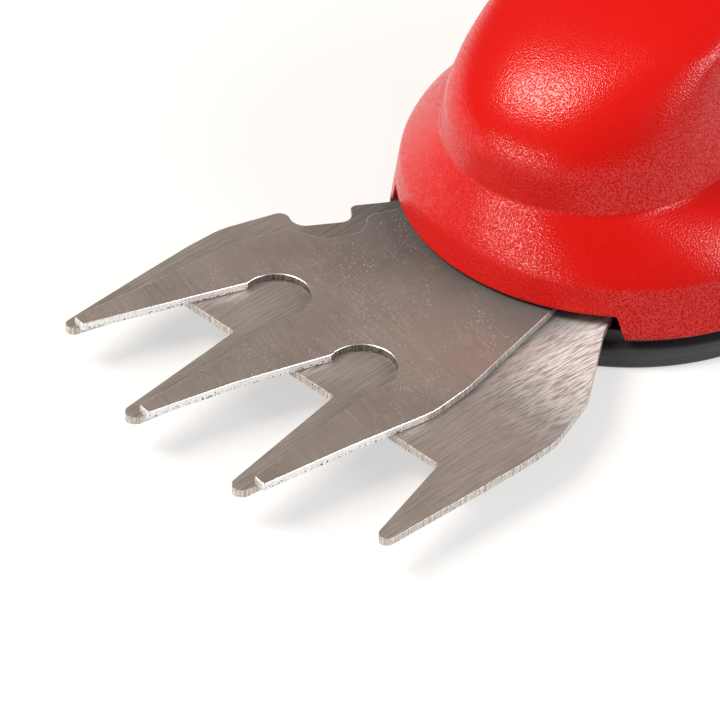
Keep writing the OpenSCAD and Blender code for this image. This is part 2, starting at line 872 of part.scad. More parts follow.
// The trigger's slot and the lock-off button's slot leave the halves short of the middle there
trigger_slot_half = trigger_half_w + move_gap;
trigger_d0 = handle_x - trigger_x - 4.4;
trigger_d1 = handle_x - trigger_x + trigger_len + 5;
lock_d0 = handle_x - lock_x - lock_slot_half;
lock_d1 = handle_x - lock_x + lock_slot_half;
function in_span(d, d0, d1) = d > d0 && d < d1;
function top_angle(d, w) =
  in_span(d, lock_d0, lock_d1) ? asin(lock_slot_half / (handle_row(d)[2] - w)) : 0;
function low_angle(d, w) =
  in_span(d, trigger_d0, trigger_d1) ? 180 - asin(trigger_slot_half / (handle_row(d)[2] - w)) : 180;
// Half section of the handle from angle t0 to t1, measured from the top
function handle_arc(d, w, t0, t1, angles) =
  let (row = handle_row(d))
  [
    for (t = angles)
      let (a = mix(t0, t1, t / 180))
      [handle_x - d, (row[2] - w) * sin(a), row[0] + (row[1] - w) * cos(a)]
  ];
function handle_ring(d, w) = handle_arc(d, w, top_angle(d, w), low_angle(d, w), ring_angles);
// Stations behind the tower, doubled at the ends of the slots
slot_lip = 0.15;
tail_start = handle_len - 4;
handle_stations = [
  trigger_d0 - slot_lip, trigger_d0 + slot_lip, lock_d0 - slot_lip, lock_d0 + slot_lip, 17,
  lock_d1 - slot_lip, lock_d1 + slot_lip, 30, 37, trigger_d1 - slot_lip, trigger_d1 + slot_lip,
  55, 68, 82, 96, 110, tail_start
];
// Rounded tail: the section draws in to the charge socket
tail_steps = 4;
function tail_ring(s, w) =
  let (
    d = tail_start + (tail_reach - w) * sin(90 * s),
    row = handle_row(handle_len),
    k = pow(cos(90 * s), 0.8),
    hole = socket_r + seat_gap
  )
  [
    for (t = ring_angles)
      [handle_x - d, mix(hole, row[2] - w, k) * sin(t), row[0] + mix(hole, row[1] - w, k) * cos(t)]
  ];

shoulder_steps = 7;
tower_steps = 13;
function housing_rings(w) = concat(
  [edge_ring(w), band_ring(slot_z + 0.5, w)],
  [for (i = [0 : shoulder_steps]) shoulder_ring(i / shoulder_steps, w)],
  [for (i = [0 : tower_steps]) tower_ring(90 * pow(i / tower_steps, 1.5), w)],
  [for (d = handle_stations) handle_ring(d, w)],
  [for (i = [1 : tail_steps]) tail_ring(i / tail_steps, w)]
);

// A wall between an outer and an inner open loft, closed along its four edges
module loft_wall(outer, inner) {
  n = len(outer[0]);
  rows = len(outer);
  skip = rows * n;
  polyhedron(
    points = [for (ring = concat(outer, inner)) each ring],
    faces = concat(
      loft_sides(rows, n, 0, false, true),
      loft_sides(rows, n, skip, false, false),
      loft_strip(0, skip, n, false, false),
      loft_strip(skip - n, 2 * skip - n, n, false, true),
      loft_edge(rows, n, 0, skip, true),
      loft_edge(rows, n, n - 1, skip, false)
    )
  );
}

// What both halves carry: the boss for a base screw, the trigger pin's boss, pins into the switch,
// and pads against the cell holder
module half_housing() {
  base_boss = screw_spots[3];
  loft_wall(housing_rings(0), housing_rings(wall));
  post(base_boss[0], base_boss[1], hood_boss_r, base_h + seat_gap, crease_z - 12);
  cross_bar(trigger_x, trigger_z, trigger_pin_r + 2, trigger_slot_half + 0.2, 10);
  for (x = [4, switch_len - 4])
    cross_bar(switch_x - x, switch_z + switch_h / 2, switch_pin_r, 2, palm_w / 2 - wall + 0.6);
  for (x = [12, cell_len - 12])
    cross_bar(cell_x - x, cell_zc, 3, cell_d / 2 + 2 * seat_gap + holder_wall, palm_w / 2 - wall + 0.6);
}

// Holes that both halves have
module half_holes() {
  base_boss = screw_spots[3];
  post(base_boss[0], base_boss[1], screw_r, 0, base_h + screw_bite);
  cross_bar(trigger_x, trigger_z, trigger_pin_r, 0, 9.5);
}

// Screws that join the halves, put in from the right: place along X and Z, reach of the boss, seat of the head
housing_screw_spots = [
  [26, 46.5, 23.5, 19],
  [handle_x - 5.4, handle_zc + 7.5, 14, 11],
  [handle_x - 45.6, handle_zc - 1.5, 15.6, 11],
  [cell_x - cell_len - 6, cell_zc + 11, 11, 8]
];
blind_boss_r = 3;
head_boss_r = 3.8;
housing_head_r = 2.7;
housing_head_h = 1.9;

module housing_left() {
  color(red)
    difference() {
      union() {
        half_housing();
        for (s = housing_screw_spots)
          cross_bar(s[0], s[1], blind_boss_r, 0, s[2]);
      }
      half_holes();
      for (s = housing_screw_spots)
        cross_bar(s[0], s[1], screw_r, -1, s[3] - 1.5);
    }
}

module housing_right() {
  color(red)
    mirror([0, 1, 0])
      difference() {
        union() {
          half_housing();
          for (s = housing_screw_spots)
            cross_bar(s[0], s[1], head_boss_r, 0, s[2]);
        }
        half_holes();
        for (s = housing_screw_spots) {
          cross_bar(s[0], s[1], screw_r, -1, s[2] + 10);
          cross_bar(s[0], s[1], housing_head_r + seat_gap, s[3], s[2] + 10);
        }
      }
}

module housing_screws() {
  color(grey)
    for (s = housing_screw_spots)
      difference() {
        union() {
          cross_bar(s[0], s[1], screw_r, -s[3] - eps, s[3] - 2);
          cross_bar(s[0], s[1], housing_head_r, -s[3] - housing_head_h, -s[3]);
        }
        for (a = [0, 90])
          translate([s[0], -s[3] - housing_head_h + 0.5, s[1]])
            rotate([0, a, 0])
              cube([3.4, 1.4, 0.8], center = true);
      }
}

// Soft grip: a pad on each side of the palm
grip_d0 = 50;
grip_d1 = handle_len - 8;
grip_steps = 14;
grip_angles = [for (i = [0 : 14]) 180 * i / 14];
// Rings lie closer together towards the pad's round ends, where its height changes fastest
function grip_ring(i, w) =
  let (
    s = (1 - cos(180 * i / grip_steps)) / 2,
    bow = sqrt(max(0.02, 1 - pow(abs(2 * s - 1), 4))),
    mid = 102
  )
  handle_arc(mix(grip_d0, grip_d1, s), w, mid - 46 * bow - 8, mid + 62 * bow + 8, grip_angles);
module grip_pad() {
  loft_wall(
    [for (i = [0 : grip_steps]) grip_ring(i, -grip_t)],
    [for (i = [0 : grip_steps]) grip_ring(i, -grip_lift)]
  );
}

module grip_left() {
  color(black)
    grip_pad();
}

module grip_right() {
  color(black)
    mirror([0, 1, 0])
      grip_pad();
}

// Trigger: side view turned about its pin, then its width
module trigger() {
  color(black)
    translate([trigger_x, 0, trigger_z])
      difference() {
        rotate([90, 0, 0])
          translate([0, 0, -trigger_half_w])
            linear_extrude(2 * trigger_half_w)
              difference() {
                union() {
                  circle(4);
                  polygon([
                    [0, 4], [-trigger_len, 1], [-trigger_len, -7], [-trigger_len + 4, -11.5],
                    [-13, -11], [-5, -7], [0, -4]
                  ]);
                }
                translate([-16.5, -22.4])
                  circle(12);
              }
        cross_bar(0, 0, trigger_pin_r + run_fit, -20, 20);
        // Hollow from above, as moulded
        translate([-trigger_len + 2, -trigger_half_w + 1.8, -trigger_floor])
          cube([trigger_len - 9, 2 * trigger_half_w - 3.6, 10]);
      }
}

module trigger_pin() {
  color(steel)
    cross_bar(trigger_x, trigger_z, trigger_pin_r, -9.3, 9.3);
}

// Coil spring along Z: one unbroken tube of six sides, eight rings to a curl
wire_sides = 6;
curl_rings = 8;
function coil_point(r, pitch, i) = [
  r * cos(i * 360 / curl_rings), r * sin(i * 360 / curl_rings), pitch * i / curl_rings
];
module coil_spring(r, wire, pitch, curls) {
  rings = curls * curl_rings;
  rise = atan2(pitch, 2 * PI * r);
  n = wire_sides;
  points = [
    for (i = [0 : rings], k = [0 : n - 1])
      let (
        a = i * 360 / curl_rings,
        c = coil_point(r, pitch, i),
        b = k * 360 / n,
        out = [cos(a), sin(a), 0],
        up = [sin(a) * sin(rise), -cos(a) * sin(rise), cos(rise)]
      )
      c + wire * (cos(b) * out + sin(b) * up)
  ];
  polyhedron(
    points = points,
    faces = concat(
      loft_sides(rings + 1, n, 0, true, false),
      [for (k = [1 : n - 2]) [0, k + 1, k]],
      [for (k = [1 : n - 2]) [rings * n, rings * n + k, rings * n + k + 1]]
    )
  );
}
function coil_gap(r, wire, pitch, curls) = min([
  for (i = [0 : (curls - 1) * curl_rings])
    norm(coil_point(r, pitch, i + curl_rings) - coil_point(r, pitch, i))
]) - 2 * wire;

// Springs as radius, wire radius, pitch and curls; the pitch fills the room between the two ends
trigger_floor = 3;
function coil_pitch(room, wire, curls) = (room - 2 * wire - 0.1) / curls;
trigger_coil = [2.6, 0.35, coil_pitch(switch_z - trigger_z + trigger_floor, 0.35, 6), 6];
lock_coil = [3.2, 0.25, coil_pitch(lock_flange_z - switch_z - switch_h, 0.25, 2), 2];
echo(trigger_coil_gap = coil_gap(trigger_coil[0], trigger_coil[1], trigger_coil[2], trigger_coil[3]));
echo(lock_coil_gap = coil_gap(lock_coil[0], lock_coil[1], lock_coil[2], lock_coil[3]));

trigger_coil_d = 19;
module trigger_spring() {
  color(steel)
    translate([trigger_x - trigger_coil_d, 0, trigger_z - trigger_floor + trigger_coil[1] + 0.05])
      coil_spring(trigger_coil[0], trigger_coil[1], trigger_coil[2], trigger_coil[3]);
}

lock_stem_z = lock_flange_z - 0.8;
module lock_button() {
  crown = handle_zc + neck_h / 2 + 2.4;
  half = lock_side / 2;
  color(black)
    union() {
      translate([lock_x - lock_flange_side / 2, -lock_flange_side / 2, lock_flange_z])
        cube([lock_flange_side, lock_flange_side, lock_flange_t]);
      post(lock_x, 0, 2.2, lock_stem_z, lock_flange_z + eps);
      translate([lock_x, half, 0])
        rotate([90, 0, 0])
          linear_extrude(lock_side)
            polygon([
              [-half, lock_flange_z], [-half, crown - 2], [-half + 2, crown], [0, crown - 0.5],
              [half - 2, crown], [half, crown - 2], [half, lock_flange_z]
            ]);
    }
}

module lock_spring() {
  color(steel)
    translate([lock_x, 0, switch_z + switch_h + lock_coil[1] + 0.05])
      coil_spring(lock_coil[0], lock_coil[1], lock_coil[2], lock_coil[3]);
}

module switch() {
  color(black)
    difference() {
      translate([switch_x - switch_len, -switch_half_w, switch_z])
        cube([switch_len, 2 * switch_half_w, switch_h]);
      for (x = [4, switch_len - 4])
        cross_bar(switch_x - x, switch_z + switch_h / 2, switch_pin_r + 0.1, -10, 10);
    }
}

// Battery
strap_t = 0.3;
strap_w = 6;
strap_end = 4;
cap_inset = 4;
holder_rise = 3.5;
holder_hole_r = 5;
holder_x0 = cell_x - cell_len - strap_t - seat_gap - holder_wall;
holder_x1 = cell_x + strap_t + seat_gap + holder_wall;
module holder_section(grow) {
  half = cell_d / 2 + grow;
  for (s = [-1, 1])
    translate([0, s * cell_pitch / 2])
      circle(half);
  square([2 * half, cell_pitch], center = true);
}
module holder_solid(x0, x1, grow) {
  translate([x0, 0, cell_zc])
    rotate([90, 0, 90])
      linear_extrude(x1 - x0)
        holder_section(grow);
}

module cell_holder() {
  color(grey)
    difference() {
      intersection() {
        holder_solid(holder_x0, holder_x1, seat_gap + holder_wall);
        translate([holder_x0, -cell_d, cell_zc - cell_pitch / 2 - holder_rise])
          cube([holder_x1 - holder_x0, 2 * cell_d, cell_pitch + 2 * holder_rise]);
      }
      holder_solid(holder_x0 + holder_wall, holder_x1 - holder_wall, seat_gap);
      for (s = [-1, 1])
        translate([holder_x0 - 1, 0, cell_zc + s * cell_pitch / 2])
          rotate([0, 90, 0])
            cylinder(r = holder_hole_r, h = 2 * cell_len);
    }
}

module battery_cells() {
  color("#3f6fa0")
    for (s = [-1, 1])
      translate([cell_x - cell_len, 0, cell_zc + s * cell_pitch / 2])
        rotate([0, 90, 0]) {
          cylinder(d = cell_d, h = cell_len - 1);
          cylinder(d = cell_d - 2 * cap_inset, h = cell_len);
        }
}

module cell_straps() {
  color(steel)
    union() {
      translate([cell_x - cell_len - strap_t, -strap_w / 2, cell_zc - cell_pitch / 2 - strap_end])
        cube([strap_t, strap_w, cell_pitch + 2 * strap_end]);
      for (s = [-1, 1])
        translate([cell_x, -strap_w / 2, cell_zc + s * cell_pitch / 2 - strap_end])
          cube([strap_t, strap_w, 2 * strap_end]);
    }
}

module control_board() {
  color("#2f6b45")
    union() {
      translate([switch_x - switch_len + 1, -6, switch_z + switch_h])
        cube([12, 12, 1.6]);
      translate([switch_x - switch_len + 3, -3, switch_z + switch_h + 1.6 - eps])
        cube([5, 6, 1.5]);
    }
}

module charge_socket() {
  row = handle_row(handle_len);
  depth = 9;
  end_x = handle_x - tail_start - tail_reach;
  color(black)
    translate([end_x, 0, row[0]])
      rotate([0, 90, 0])
        difference() {
          cylinder(r = socket_r, h = depth);
          translate([0, 0, -1])
            difference() {
              cylinder(r = 2.8, h = depth - 1);
              cylinder(r = 0.9, h = depth);
            }
        }
}

// Leads: straight runs, a little fuller at the bends
module lead(route, r) {
  for (i = [0 : len(route) - 2])
    let (v = route[i + 1] - route[i], l = norm(v)) {
      translate(route[i])
        rotate([0, acos(v[2] / l), atan2(v[1], v[0])])
          cylinder(r = r, h = l);
      if (i > 0)
        translate(route[i])
          sphere(1.15 * r);
    }
}

lead_r = 0.9;
module motor_wires() {
  color(red)
    for (s = [-1, 1])
      lead([
        [motor_x - 1.9, s * motor_screw_y, motor_top + cap_h + 2.6],
        [switch_x + seat_gap, s * 4, switch_z + 8]
      ], lead_r);
}

module battery_wires() {
  color(black)
    for (s = [-1, 1])
      lead([
        [cell_x + strap_t + 0.5, s * 1.8, cell_zc + s * cell_pitch / 2],
        [cell_x + 5.5, s * 3, cell_zc + s * 7 + 0.6 * (1 + s)],
        [switch_x - switch_len - 0.8, s * 3, switch_z + (s > 0 ? 10 : 1.2)]
      ], lead_r);
}

base_plate();
base_screws();
lower_blade();
blade_screws();
upper_blade();
pivot_bolt();
pivot_washer();
pivot_nut();
crank_gear();
crank_shaft();
crank_pin();
crank_roller();
crank_bush();
idler_gear();
idler_axle();
gear_case();
motor_can();
motor_magnets();
motor_end_cap();
motor_shaft();
armature();
motor_pinion();
motor_screws();
housing_left();
housing_right();
housing_screws();
grip_left();
grip_right();
trigger();
trigger_pin();
trigger_spring();
lock_button();
lock_spring();
switch();
cell_holder();
battery_cells();
cell_straps();
control_board();
charge_socket();
motor_wires();
battery_wires();
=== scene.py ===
# %% [markdown]
# # Cordless grass shears
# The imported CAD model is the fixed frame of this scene: every piece below is placed in its coordinates,
# in metres. +X points the way the teeth point, +Y to the tool's left, +Z up, and the tool stands on the
# plane Z=0. The lesson makes the finishes first, then the moulded housing, the base, the blades, the grip
# and the springs, and last the camera and the studio.

# %% Load the frame
import math

import bpy
import numpy as np
from mathutils import Matrix, Quaternion, Vector


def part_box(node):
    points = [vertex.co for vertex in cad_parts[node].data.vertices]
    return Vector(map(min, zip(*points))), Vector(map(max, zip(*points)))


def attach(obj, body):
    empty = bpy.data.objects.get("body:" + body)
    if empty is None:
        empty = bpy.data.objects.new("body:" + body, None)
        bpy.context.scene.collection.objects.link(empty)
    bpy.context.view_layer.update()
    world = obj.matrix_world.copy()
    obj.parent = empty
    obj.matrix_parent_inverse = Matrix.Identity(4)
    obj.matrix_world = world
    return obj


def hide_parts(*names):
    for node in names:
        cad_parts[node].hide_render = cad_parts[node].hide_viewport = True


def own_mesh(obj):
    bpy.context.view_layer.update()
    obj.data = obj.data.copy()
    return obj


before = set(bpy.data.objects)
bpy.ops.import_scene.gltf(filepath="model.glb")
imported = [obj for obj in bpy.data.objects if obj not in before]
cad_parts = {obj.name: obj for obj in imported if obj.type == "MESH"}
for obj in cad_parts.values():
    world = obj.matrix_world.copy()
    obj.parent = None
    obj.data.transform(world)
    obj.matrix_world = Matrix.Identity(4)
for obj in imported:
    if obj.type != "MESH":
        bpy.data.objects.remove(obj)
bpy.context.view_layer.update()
scene = bpy.context.scene
MM = 0.001

# %% [markdown]
# ## Colours and nodes
# Colours are written as sRGB hex values, the way a paint card gives them. Shaders want linear light, so
# one function converts them. A second function adds a shader node. Its inputs are named in a dict, or
# stand in a tuple in the order in which the node shows its sockets, and each is a plain value, or a node
# or an output to link. Nodes could also be wired up by hand, but written this way a material reads like a
# recipe.

# %% Colour and node helpers
def colour(hex_value):
    srgb = [int(hex_value[i:i + 2], 16) / 255 for i in (1, 3, 5)]
    linear = [c / 12.92 if c <= 0.04045 else ((c + 0.055) / 1.055) ** 2.4 for c in srgb]
    return (*linear, 1.0)


def add(tree, kind, inputs=(), **settings):
    node = tree.nodes.new(kind)
    for name, value in settings.items():
        setattr(node, name, value)
    if isinstance(inputs, dict):
        plugs = [(node.inputs[name], value) for name, value in inputs.items()]
    else:
        plugs = zip([socket for socket in node.inputs if socket.enabled], inputs)
    for socket, value in plugs:
        if isinstance(value, bpy.types.Node):
            value = next(output for output in value.outputs if output.enabled)
        if isinstance(value, bpy.types.NodeSocket):
            tree.links.new(value, socket)
        else:
            socket.default_value = value
    return node


# Settings that many nodes share: mix two colours, multiply two colours, map a range with soft ends.
# A mix takes its share and the two colours, and a range takes the value, its limits and the new limits.
COLOURS = {"data_type": "RGBA"}
TINT = {"data_type": "RGBA", "blend_type": "MULTIPLY"}
EASED = {"interpolation_type": "SMOOTHSTEP"}
print("helpers ready")

# %% [markdown]
# Each finish begins with an empty material, and each pattern in it repeats at a real size. A noise has
# about one repeat per unit, so the place on the object, in metres, is scaled up by one over that size.

# %% Material helpers
def new_material(name):
    material = bpy.data.materials.new(name)
    material.use_nodes = True
    material.node_tree.nodes.clear()
    return material, material.node_tree


def per_mm(x, y=None, z=None):
    """Pattern scale for one repeat in so many millimetres along each axis."""
    return (1 / (x * MM), 1 / ((y or x) * MM), 1 / ((z or x) * MM))


print("a 2 mm pattern has scale", per_mm(2)[0])

# %% [markdown]
# ## Red ABS
# The housing is ABS, injection moulded in a tool whose walls were spark eroded. The sparks leave shallow
# craters side by side, about half a millimetre across. To the eye that gives a deep red on which a
# highlight breaks into sparks: the ridges between the craters shine, and their floors stay dull. The
# grain could be painted as a picture, but a cell pattern at its real size works at any distance. The
# distance from each cell's middle drives the bump, the gloss and a slight painted shade that darkens the
# craters' floors, and a slow noise lets the red drift a little.

# %% Red ABS material
CRATER_MM, CRATER_DEPTH_MM, RED_DRIFT_MM = 0.46, 0.045, 22
ABS_IOR = 1.53


def red_abs():
    material, tree = new_material("ABS red, spark eroded grain")
    place = add(tree, "ShaderNodeTexCoord").outputs["Object"]
    cells = add(tree, "ShaderNodeMapping", {"Vector": place, "Scale": per_mm(CRATER_MM)})
    crater = add(tree, "ShaderNodeTexVoronoi", {"Vector": cells, "Scale": 1.0})
    wide = add(tree, "ShaderNodeMapping", {"Vector": place, "Scale": per_mm(RED_DRIFT_MM)})
    drift = add(tree, "ShaderNodeTexNoise", {"Vector": wide, "Scale": 1.0, "Detail": 3.0})
    tone = add(tree, "ShaderNodeMix", (drift, colour("#CF0E07"), colour("#D9120B")), **COLOURS)
    # Painted shade: the floors of the craters are darkened a little in the red's colour.
    shade = add(tree, "ShaderNodeMapRange", (crater, 0.15, 0.4, 0.92, 1.0))
    shaded = add(tree, "ShaderNodeMix", (1.0, tone, shade), **TINT)
    gloss = add(tree, "ShaderNodeMapRange", (crater, 0.3, 0.7, 0.4, 0.14))
    glint = add(tree, "ShaderNodeMapRange", (crater, 0.36, 0.6, 0.12, 0.48))
    bump = add(tree, "ShaderNodeBump", {"Height": crater, "Strength": 1.0, "Distance": CRATER_DEPTH_MM * MM})
    shader = add(tree, "ShaderNodeBsdfPrincipled", {
        "Base Color": shaded, "Roughness": gloss, "Specular IOR Level": glint, "IOR": ABS_IOR,
        "Normal": bump})
    add(tree, "ShaderNodeOutputMaterial", {"Surface": shader})
    return material


RED = red_abs()
print("made", RED.name)

# %% [markdown]
# ## A family of moulded plastics
# The black base, the trigger, the grey gear case and the acetal gears are mouldings too, and so, near
# enough, are the sleeves and leads inside. Each could have its own recipe, but they differ only in two
# tones, in gloss, in IOR and in how coarse and deep the tool's grain is, so one recipe with those numbers
# serves all.

# %% Moulded plastics
TONE_DRIFT_MM, GLOSS_DRIFT = 14, 0.06


def moulded(name, dark, light, roughness, ior, grain_mm, depth_mm):
    material, tree = new_material(name)
    place = add(tree, "ShaderNodeTexCoord").outputs["Object"]
    cells = add(tree, "ShaderNodeMapping", {"Vector": place, "Scale": per_mm(grain_mm)})
    grain = add(tree, "ShaderNodeTexNoise", {"Vector": cells, "Scale": 1.0, "Detail": 2.0})
    wide = add(tree, "ShaderNodeMapping", {"Vector": place, "Scale": per_mm(TONE_DRIFT_MM)})
    drift = add(tree, "ShaderNodeTexNoise", {"Vector": wide, "Scale": 1.0, "Detail": 4.0})
    tone = add(tree, "ShaderNodeMix", (drift, colour(dark), colour(light)), **COLOURS)
    gloss = add(tree, "ShaderNodeMapRange", {
        "Value": drift, "To Min": roughness - GLOSS_DRIFT, "To Max": roughness + GLOSS_DRIFT})
    bump = add(tree, "ShaderNodeBump", {"Height": grain, "Strength": 0.4, "Distance": depth_mm * MM})
    shader = add(tree, "ShaderNodeBsdfPrincipled", {
        "Base Color": tone, "Roughness": gloss, "IOR": ior, "Normal": bump})
    add(tree, "ShaderNodeOutputMaterial", {"Surface": shader})
    return material


# Each has a dark and a light tone, roughness, IOR, and the grain's width and depth in millimetres.
# A satin tool wall: near black with a soft grey sheen along its roundings
BLACK = moulded("Polypropylene black, satin moulded", "#29292B", "#39393B", 0.42, 1.49, 0.5, 0.03)
# Glass fibre close to the surface: a flat, cloudy grey
GREY = moulded("Glass filled nylon grey, matt moulded", "#4C4D51", "#5E5F63", 0.55, 1.53, 0.6, 0.03)
# Natural acetal: waxy and off white
ACETAL = moulded("Acetal natural, moulded", "#D2CDBE", "#DED9CC", 0.4, 1.48, 0.8, 0.01)
# A grained tool wall: a dull black with hardly any highlight
GRIP = moulded("Thermoplastic rubber black, fine matt grain", "#18181A", "#242426", 0.72, 1.52, 0.35, 0.08)
# Shrunk tight round the cells: smooth and glossy
WRAP = moulded("PVC shrink sleeve blue", "#37659A", "#4477AB", 0.3, 1.54, 1.2, 0.01)
# A lacquer over woven glass: an even, glossy green
BOARD = moulded("Solder mask green on glass laminate", "#27603C", "#337448", 0.35, 1.55, 0.4, 0.01)
# Extruded round the wire: smooth and softly shiny
RED_LEAD = moulded("PVC insulation red, extruded", "#A81B1A", "#BC2422", 0.38, 1.54, 0.5, 0.01)
BLACK_LEAD = moulded("PVC insulation black, extruded", "#151516", "#202022", 0.38, 1.54, 0.5, 0.01)
# Pressed from powder and fired: a dull charcoal
FERRITE = moulded("Ferrite, sintered", "#252426", "#353336", 0.7, 1.9, 0.3, 0.02)
print("plastics:", len(bpy.data.materials))

# %% [markdown]
# ## Marks on steel
# Brushing, rubbing and handling leave marks that are long one way and narrow the other. Brushed metal
# could be made with an anisotropic shader, but so close up the single marks show, so each kind is a noise
# that is stretched to the marks' real length and width and turned to the way they run. Brush marks are a
# few hundredths of a millimetre wide, which is too fine to show here, so they are drawn about 0.2 mm
# wide.

# %% Marks
MARK_DEPTH_MM = 1.5


def marks(tree, place, along_mm, across_mm, turn_deg=0.0, detail=2.0):
    """Noise that repeats every along_mm by across_mm, with its long way turned from X."""
    lay = add(tree, "ShaderNodeMapping", {"Vector": place, "Rotation": (0, 0, math.radians(-turn_deg))})
    size = per_mm(along_mm, across_mm, MARK_DEPTH_MM)
    cells = add(tree, "ShaderNodeMapping", {"Vector": lay, "Scale": size})
    noise = {"Vector": cells, "Scale": 1.0, "Detail": detail, "Roughness": 0.65}
    return add(tree, "ShaderNodeTexNoise", noise)


print("marks ready")

# %% [markdown]
# Two things lie over the brushing. Next to the hood the steel is coloured darker and cooler, as painted
# shade, and made less metallic; this thins out with the distance from the crank. And the left side of the
# lower blade was brushed a second time, with a coarse wheel: short strokes close to the hood, coloured
# bright as a painted highlight that fades towards the teeth. Both could be painted on by hand, but masks
# made from the distance and the place stay right when the blade is remade.

# %% Painted hood shade and coarse brushing with painted highlight
# Distances from the crank over which the painted shade by the hood fades out, in millimetres
HOOD_SHADE_DEEP_MM, HOOD_SHADE_GONE_MM = 50, 76
COARSE_LONG_MM, COARSE_WIDE_MM, COARSE_TURN_DEG = 4.0, 0.24, -3
# Where the coarse strokes lie, and the span over which their painted highlight fades, in millimetres
COARSE_Y_MM, COARSE_X_MM, HIGHLIGHT_FADE_MM = (18, 34), (92, 64), (52, 76)


def out_of_hood_shade(tree, place):
    """0 in the painted shade by the hood, 1 where the steel is out of it."""
    from_axis = add(tree, "ShaderNodeVectorMath", (place, (1, 1, 0)), operation="MULTIPLY")
    reach = add(tree, "ShaderNodeVectorMath", (from_axis,), operation="LENGTH")
    limits = (HOOD_SHADE_DEEP_MM * MM, HOOD_SHADE_GONE_MM * MM)
    return add(tree, "ShaderNodeMapRange", (reach, *limits, 0.0, 1.0), **EASED)


def coarse_brushing_and_highlight(tree, place, lay_deg):
    """Where the second brushing lies, the relief of its strokes, and their colour, lightened as a painted
    highlight near the hood.
    """
    where = add(tree, "ShaderNodeSeparateXYZ", (place,)).outputs
    y_low, y_high, x_low, x_high, start, end = (c * MM for c in COARSE_Y_MM + COARSE_X_MM + HIGHLIGHT_FADE_MM)
    sideways = add(tree, "ShaderNodeMapRange", (where["Y"], y_low, y_high, 0.0, 1.0), **EASED)
    lengthways = add(tree, "ShaderNodeMapRange", (where["X"], x_low, x_high, 0.0, 1.0), **EASED)
    patch = add(tree, "ShaderNodeMath", (sideways, lengthways), operation="MULTIPLY")
    strokes = marks(tree, place, COARSE_LONG_MM, COARSE_WIDE_MM, lay_deg + COARSE_TURN_DEG)
    share = add(tree, "ShaderNodeMapRange", (strokes, 0.38, 0.58, 0.0, 1.0), **EASED)
    # Partly painted highlight: the strokes are coloured brighter than the blade's own steel.
    strokes_and_painted_highlight = add(tree, "ShaderNodeMix", (share, colour("#9B9793"), colour("#E8E6E4")), **COLOURS)
    # Painted highlight: brightest near the hood, dimming towards the teeth.
    highlight_fade = add(tree, "ShaderNodeMapRange", (where["X"], start, end, 1.0, 0.46), **EASED)
    return patch, strokes, add(tree, "ShaderNodeMix", (1.0, strokes_and_painted_highlight, highlight_fade), **TINT)


print("painted hood shade is gone", HOOD_SHADE_GONE_MM, "mm from the crank")

# %% [markdown]
# Blades that rub on each other and on stems also pick up small bright flecks, which lie in clusters, and
# thin scratches across. Both are marks of which only the highest peaks are kept.

# %% Wear
CLUSTER_MM = 13
FLECK_LONG_MM, FLECK_WIDE_MM, FLECK_TURN_DEG = 0.34, 0.28, 20
SCRATCH_LONG_MM, SCRATCH_WIDE_MM, SCRATCH_TURN_DEG = 22, 0.16, 78


def worn(tree, place, steel, fleck_level):
    """Lays flecks, in clusters, and thin scratches over a steel colour."""
    blotch = marks(tree, place, CLUSTER_MM, CLUSTER_MM)
    cluster = add(tree, "ShaderNodeMapRange", (blotch, 0.42, 0.6, 0.0, 1.0), **EASED)
    speck = marks(tree, place, FLECK_LONG_MM, FLECK_WIDE_MM, FLECK_TURN_DEG, 1.0)
    fleck = add(tree, "ShaderNodeMapRange", (speck, fleck_level, fleck_level + 0.06, 0.0, 1.0), **EASED)
    clustered = add(tree, "ShaderNodeMath", (fleck, cluster), operation="MULTIPLY")
    flecked = add(tree, "ShaderNodeMix", (clustered, steel, colour("#E4DDD5")), **COLOURS)
    line = marks(tree, place, SCRATCH_LONG_MM, SCRATCH_WIDE_MM, SCRATCH_TURN_DEG, 1.0)
    scratch = add(tree, "ShaderNodeMapRange", (line, 0.71, 0.77, 0.0, 0.4), **EASED)
    return add(tree, "ShaderNodeMix", (scratch, flecked, colour("#D8D0C8")), **COLOURS)


print("flecks", FLECK_LONG_MM, "mm and scratches", SCRATCH_LONG_MM, "mm long")

# %% [markdown]
# ## Blade steel
# Both blades are stamped from strip that was hardened, tempered and brushed. To the eye the lower one
# shows long streaks along its teeth; the upper one has a fainter lay across it and more flecks. Tempering
# leaves a thin skin on the metal, so the steel is only part metallic, and most so along the bright
# streaks. Each blade could have its own recipe, but only tones, lay and wear differ, so one serves both.

# %% Blade steel material
STREAK_LONG_MM, STREAK_WIDE_MM, CLOUD_MM, BRUSH_DEPTH_MM = 9.0, 0.2, 24, 0.02


